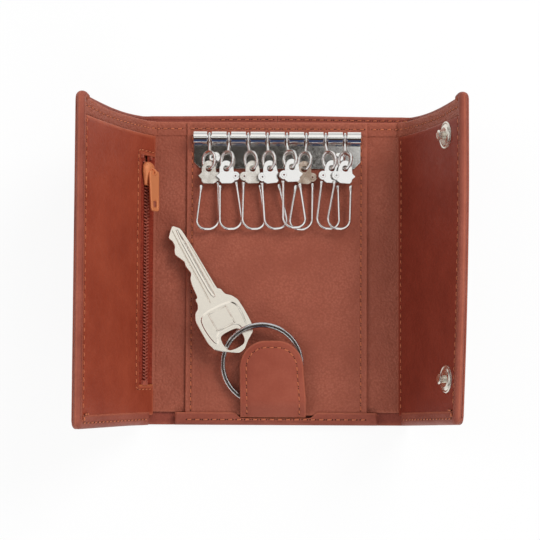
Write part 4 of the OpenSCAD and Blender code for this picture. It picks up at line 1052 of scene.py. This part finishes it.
def smoothed(points, rounds=3, cut=0.25):
    """Cuts the corners of a closed outline."""
    pts = np.array(points, float)
    for _ in range(rounds):
        nxt = np.roll(pts, -1, axis=0)
        pts = np.stack([(1 - cut) * pts + cut * nxt, cut * pts + (1 - cut) * nxt], 1).reshape(-1, 2)
    return pts


def drawn_in(pts, d):
    """An outline moved inwards by d; it runs clockwise or the other way."""
    area = np.sum(pts[:, 0] * np.roll(pts[:, 1], -1) - np.roll(pts[:, 0], -1) * pts[:, 1])
    t = np.roll(pts, -1, axis=0) - np.roll(pts, 1, axis=0)
    t /= np.linalg.norm(t, axis=1)[:, None]
    return pts + np.stack([-t[:, 1], t[:, 0]], 1) * d * (1 if area > 0 else -1)


key_edge = smoothed([(a * KEY_L - HOLE_BACK, b * BOW_W) for a, b in KEY_SHARES], cut=0.13)
field = smoothed([(15.3, 5), (15.3, -5), (13.6, -8.1), (10.0, -8.9), (4.5, -8.6), (0.6, -7.3), (1.7, -5.4),
                  (4.9, -4.6), (5.2, 0), (4.9, 4.6), (1.7, 5.4), (0.6, 7.3), (4.5, 8.5), (10.0, 9.0),
                  (13.6, 8.3)])
hole_edge = smoothed([(-3.7, -1.5), (-3.2, -3.6), (-1.2, -4.5), (1.6, -4.5), (3.5, -3.8), (3.8, 0),
                      (3.5, 3.8), (1.6, 4.5), (-1.2, 4.5), (-3.2, 3.6), (-3.7, 1.5)])
millings = [smoothed(points, 1) for points in (
    [(18.8, -2.3), (24, -2.0), (50.6, -1.7), (50.6, 0.0), (24, -0.1), (18.8, -0.6)],
    [(17.5, 0.9), (24, 0.8), (49.5, 0.9), (51.0, 0.7), (51.0, 1.25), (24, 1.5), (17.5, 1.5)],
    [(22.2, -3.5), (44, -2.85), (44, -2.55), (22.2, -3.2)])]


def key_mesh():
    """The key's blank: both faces with their sunk places, joined round the edge and in the hole."""
    bm = bmesh.new()

    def bridge(a, b):
        for k in range(len(a)):
            n = (k + 1) % len(a)
            bm.faces.new((a[k], a[n], b[n], b[k]))

    def steps_in(pts, sign, steps):
        """Rings that step in from an outline; gives the first and the last of them."""
        rings = []
        for inset, depth in steps:
            u, v = drawn_in(pts, inset).T
            rings.append([bm.verts.new(p) for p in key_place(u, v, sign * (KEY_T / 2 - depth)) * MM])
        for a, b in zip(rings, rings[1:]):
            bridge(a, b)
        return rings[0], rings[-1]

    def fill(*rings):
        edges = []
        for verts in rings:
            for pair in zip(verts, verts[1:] + verts[:1]):
                edges.append(bm.edges.get(pair) or bm.edges.new(pair))
        bmesh.ops.triangle_fill(bm, use_beauty=True, use_dissolve=False, edges=edges)

    sides, holes = [], []
    for sign in (1, -1):
        outer, rim_in = steps_in(key_edge, sign, RIM_STEPS)
        field_edge, field_floor = steps_in(field, sign, FIELD_STEPS)
        hole_out, hole_in = steps_in(hole_edge, sign, HOLE_STEPS)
        cuts = []
        for outline in millings:
            cut_edge, bed = steps_in(outline, sign, MILLING_STEPS)
            cuts.append(cut_edge)
            fill(bed)
        fill(rim_in, field_edge, hole_out, *cuts)
        fill(field_floor)
        sides.append(outer)
        holes.append(hole_in)
    bridge(*sides)
    bridge(*holes)
    bmesh.ops.recalc_face_normals(bm, faces=bm.faces)
    mesh = bpy.data.meshes.new("key_blank")
    bm.to_mesh(mesh)
    bm.free()
    mesh.materials.append(MATERIALS["key"])
    mesh.shade_smooth()
    return mesh


obj = put_in_scene("key_blank", key_mesh())
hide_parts("key")
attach(obj, "key")

# A plain raised frame on the key's bow: low and high ends of each bar, in u and then in v
FRAME_BARS = ((5.8, 13.9, 3.8, 4.3), (5.8, 13.9, -4.3, -3.8), (5.8, 6.3, -3.8, 3.8),
              (13.4, 13.9, -3.8, 3.8))
bars = []
for u0, u1, v0, v1 in FRAME_BARS:
    verts = []
    for inset, height in ((0, 0.55), (0, 0.76), (0.12, 0.84)):
        for u, v in ((u0 + inset, v0 + inset), (u1 - inset, v0 + inset), (u1 - inset, v1 - inset),
                     (u0 + inset, v1 - inset)):
            verts.append(key_place(u, v, height))
    bars.append((verts, tube_faces(3, 4)))
obj = new_mesh("key_frame", *joined(bars), "key")
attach(obj, "key")


# Carried-over CAD nodes get their materials
def dress(node, mat):
    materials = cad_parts[node].data.materials
    materials.clear()
    materials.append(MATERIALS[mat])


OLD_HEADS = {1: "dull", 3: "dull", 6: "stained"}
for i in range(1, HOOKS + 1):
    dress(f"hook_stem_{i}", "nickel")
    dress(f"hook_head_{i}", OLD_HEADS.get(i, "nickel"))
# The ring strap under the tab takes the hide with painted shade
for mat, nodes in (("nickel", ("hook_rod", "plate_rivets", "rivet_washers")), ("bar", ("hook_plate",)),
                   ("snap", ("snap_studs", "snap_posts", "snap_caps")), ("ring", ("split_ring",)),
                   ("coil", ("zip_stops",)), ("dark", ("ring_strap",))):
    for node in nodes:
        dress(node, mat)


# Floor, light and camera. The camera and mirrors see the floor nearly white
FLOOR_HALF = 3
FLOOR_GLOW = 0.9
mesh = bpy.data.meshes.new("floor")
mesh.from_pydata([(x * FLOOR_HALF, y * FLOOR_HALF, 0) for x, y in ((-1, -1), (1, -1), (1, 1), (-1, 1))],
                 [], [(0, 1, 2, 3)])
floor = put_in_scene("floor", mesh)
g = new_graph("pale_floor")
rays = g.add("ShaderNodeLightPath", {}).outputs
seen = g.calc("MULTIPLY", g.calc("MAXIMUM", rays["Is Camera Ray"], rays["Is Glossy Ray"]), FLOOR_GLOW)
glow = g.add("ShaderNodeEmission", {"Strength": 1}).outputs[0]
base = g.add("ShaderNodeBsdfPrincipled", {"Base Color": (0.84, 0.84, 0.84, 1), "Roughness": 0.9}).outputs[0]
both = g.add("ShaderNodeMixShader", {0: seen, 1: base, 2: glow}).outputs[0]
g.add("ShaderNodeOutputMaterial", {"Surface": both})
mesh.materials.append(g.owner)

bpy.context.scene.world = bpy.data.worlds.new("studio")
w = Graph(bpy.context.scene.world)


def times(a, b):
    return w.calc("MULTIPLY", a, b)


def away(value, centre=0.0):
    """How far a direction is from centre."""
    return w.calc("ABSOLUTE", w.calc("SUBTRACT", value, centre))


def fade(value, a, b):
    """One below a, nought above b."""
    return w.span(value, a, b, 1, 0, interpolation_type="SMOOTHSTEP")


DEGREES = 57.3
GAP_Y = 8.6
# What polished metal sees: a white tent with a dark gap overhead and a dark blue one in front.
# sx and sy are the sky's direction as seen from above, in degrees near the top.
dx, dy, dz = w.add("ShaderNodeSeparateXYZ", {0: w.coords["Generated"]}).outputs
sx, sy = (times(w.calc("ARCTAN2", d, dz), DEGREES) for d in (dx, dy))
slant = w.calc("ADD", sx, times(w.calc("SUBTRACT", sy, GAP_Y), 0.55))
gap_x = times(fade(slant, 2.4, 3.0), fade(times(sx, -1), 20, 26))
overhead = times(fade(away(sy, GAP_Y), 4.6, 6.0), gap_x)
front = times(fade(away(sy, -52), 44, 47), fade(away(sx), 14, 20))
shade = fade(away(sy, 78), 18, 26)
sides = fade(away(away(sx), 84), 17, 22)
patch = fade(w.calc("MAXIMUM", times(away(sx, 22), 0.6), away(sy, 18.5)), 3, 10)
sky = w.mix(times(shade, 0.55), (1, 1, 1, 1), (0.3, 0.3, 0.32, 1))
sky = w.mix(times(sides, 0.92), sky, (0.1, 0.09, 0.085, 1))
sky = w.mix(front, sky, w.mix(fade(sy, -44, -38), (0.05, 0.036, 0.03, 1), (0.035, 0.055, 0.13, 1)))
sky = w.mix(times(patch, 0.4), sky, (0.2, 0.19, 0.17, 1))
sky = w.mix(overhead, sky, (0.035, 0.03, 0.026, 1))
soft = w.add("ShaderNodeBackground", {"Color": (1, 1, 1, 1), "Strength": 0.5}).outputs[0]
shine = w.add("ShaderNodeBackground", {"Color": sky, "Strength": 1.0}).outputs[0]
mirrored = w.add("ShaderNodeLightPath", {}).outputs["Is Glossy Ray"]
both = w.add("ShaderNodeMixShader", {0: mirrored, 1: soft, 2: shine}).outputs[0]
w.add("ShaderNodeOutputWorld", {0: both})


def lamp(name, at, size, power):
    """A soft lamp that metal doesn't mirror, aimed at the case. Its place is in metres."""
    light = bpy.data.lights.new(name, "AREA")
    light.shape = "RECTANGLE"
    light.size, light.size_y = size
    light.energy = power
    obj = put_in_scene(name, light)
    obj.location = at
    obj.rotation_euler = (Vector((0, 0, 0.01)) - Vector(at)).to_track_quat("-Z", "Y").to_euler()
    obj.visible_glossy = False


lamp("key_light", (0.62, 0.62, 0.85), (0.6, 0.5), 9.5)
lamp("fill_light", (0.2, -0.8, 0.7), (0.7, 0.5), 3.0)
lamp("left_light", (-0.8, 0.25, 0.75), (0.6, 0.6), 3.0)

# The camera's tilt and roll, its place in metres and its focal length in the photograph's pixels
TILT, ROLL = math.radians(3.6), math.radians(0.3)
CAMERA_AT = (-0.00271, -0.04165, 0.65874)
FOCAL, PHOTO_W, SENSOR = 1610, 540, 36
camera = bpy.data.cameras.new("camera")
camera.lens = SENSOR * FOCAL / PHOTO_W
camera.sensor_width = SENSOR
camera.clip_start, camera.clip_end = 0.01, 20
cam = put_in_scene("camera", camera)
cam.matrix_world = (Matrix.Translation(CAMERA_AT) @ Matrix.Rotation(TILT, 4, "X")
                    @ Matrix.Rotation(ROLL, 4, "Z"))
bpy.context.scene.camera = cam
bpy.context.scene.view_settings.view_transform = "Standard"

bpy.context.view_layer.update()
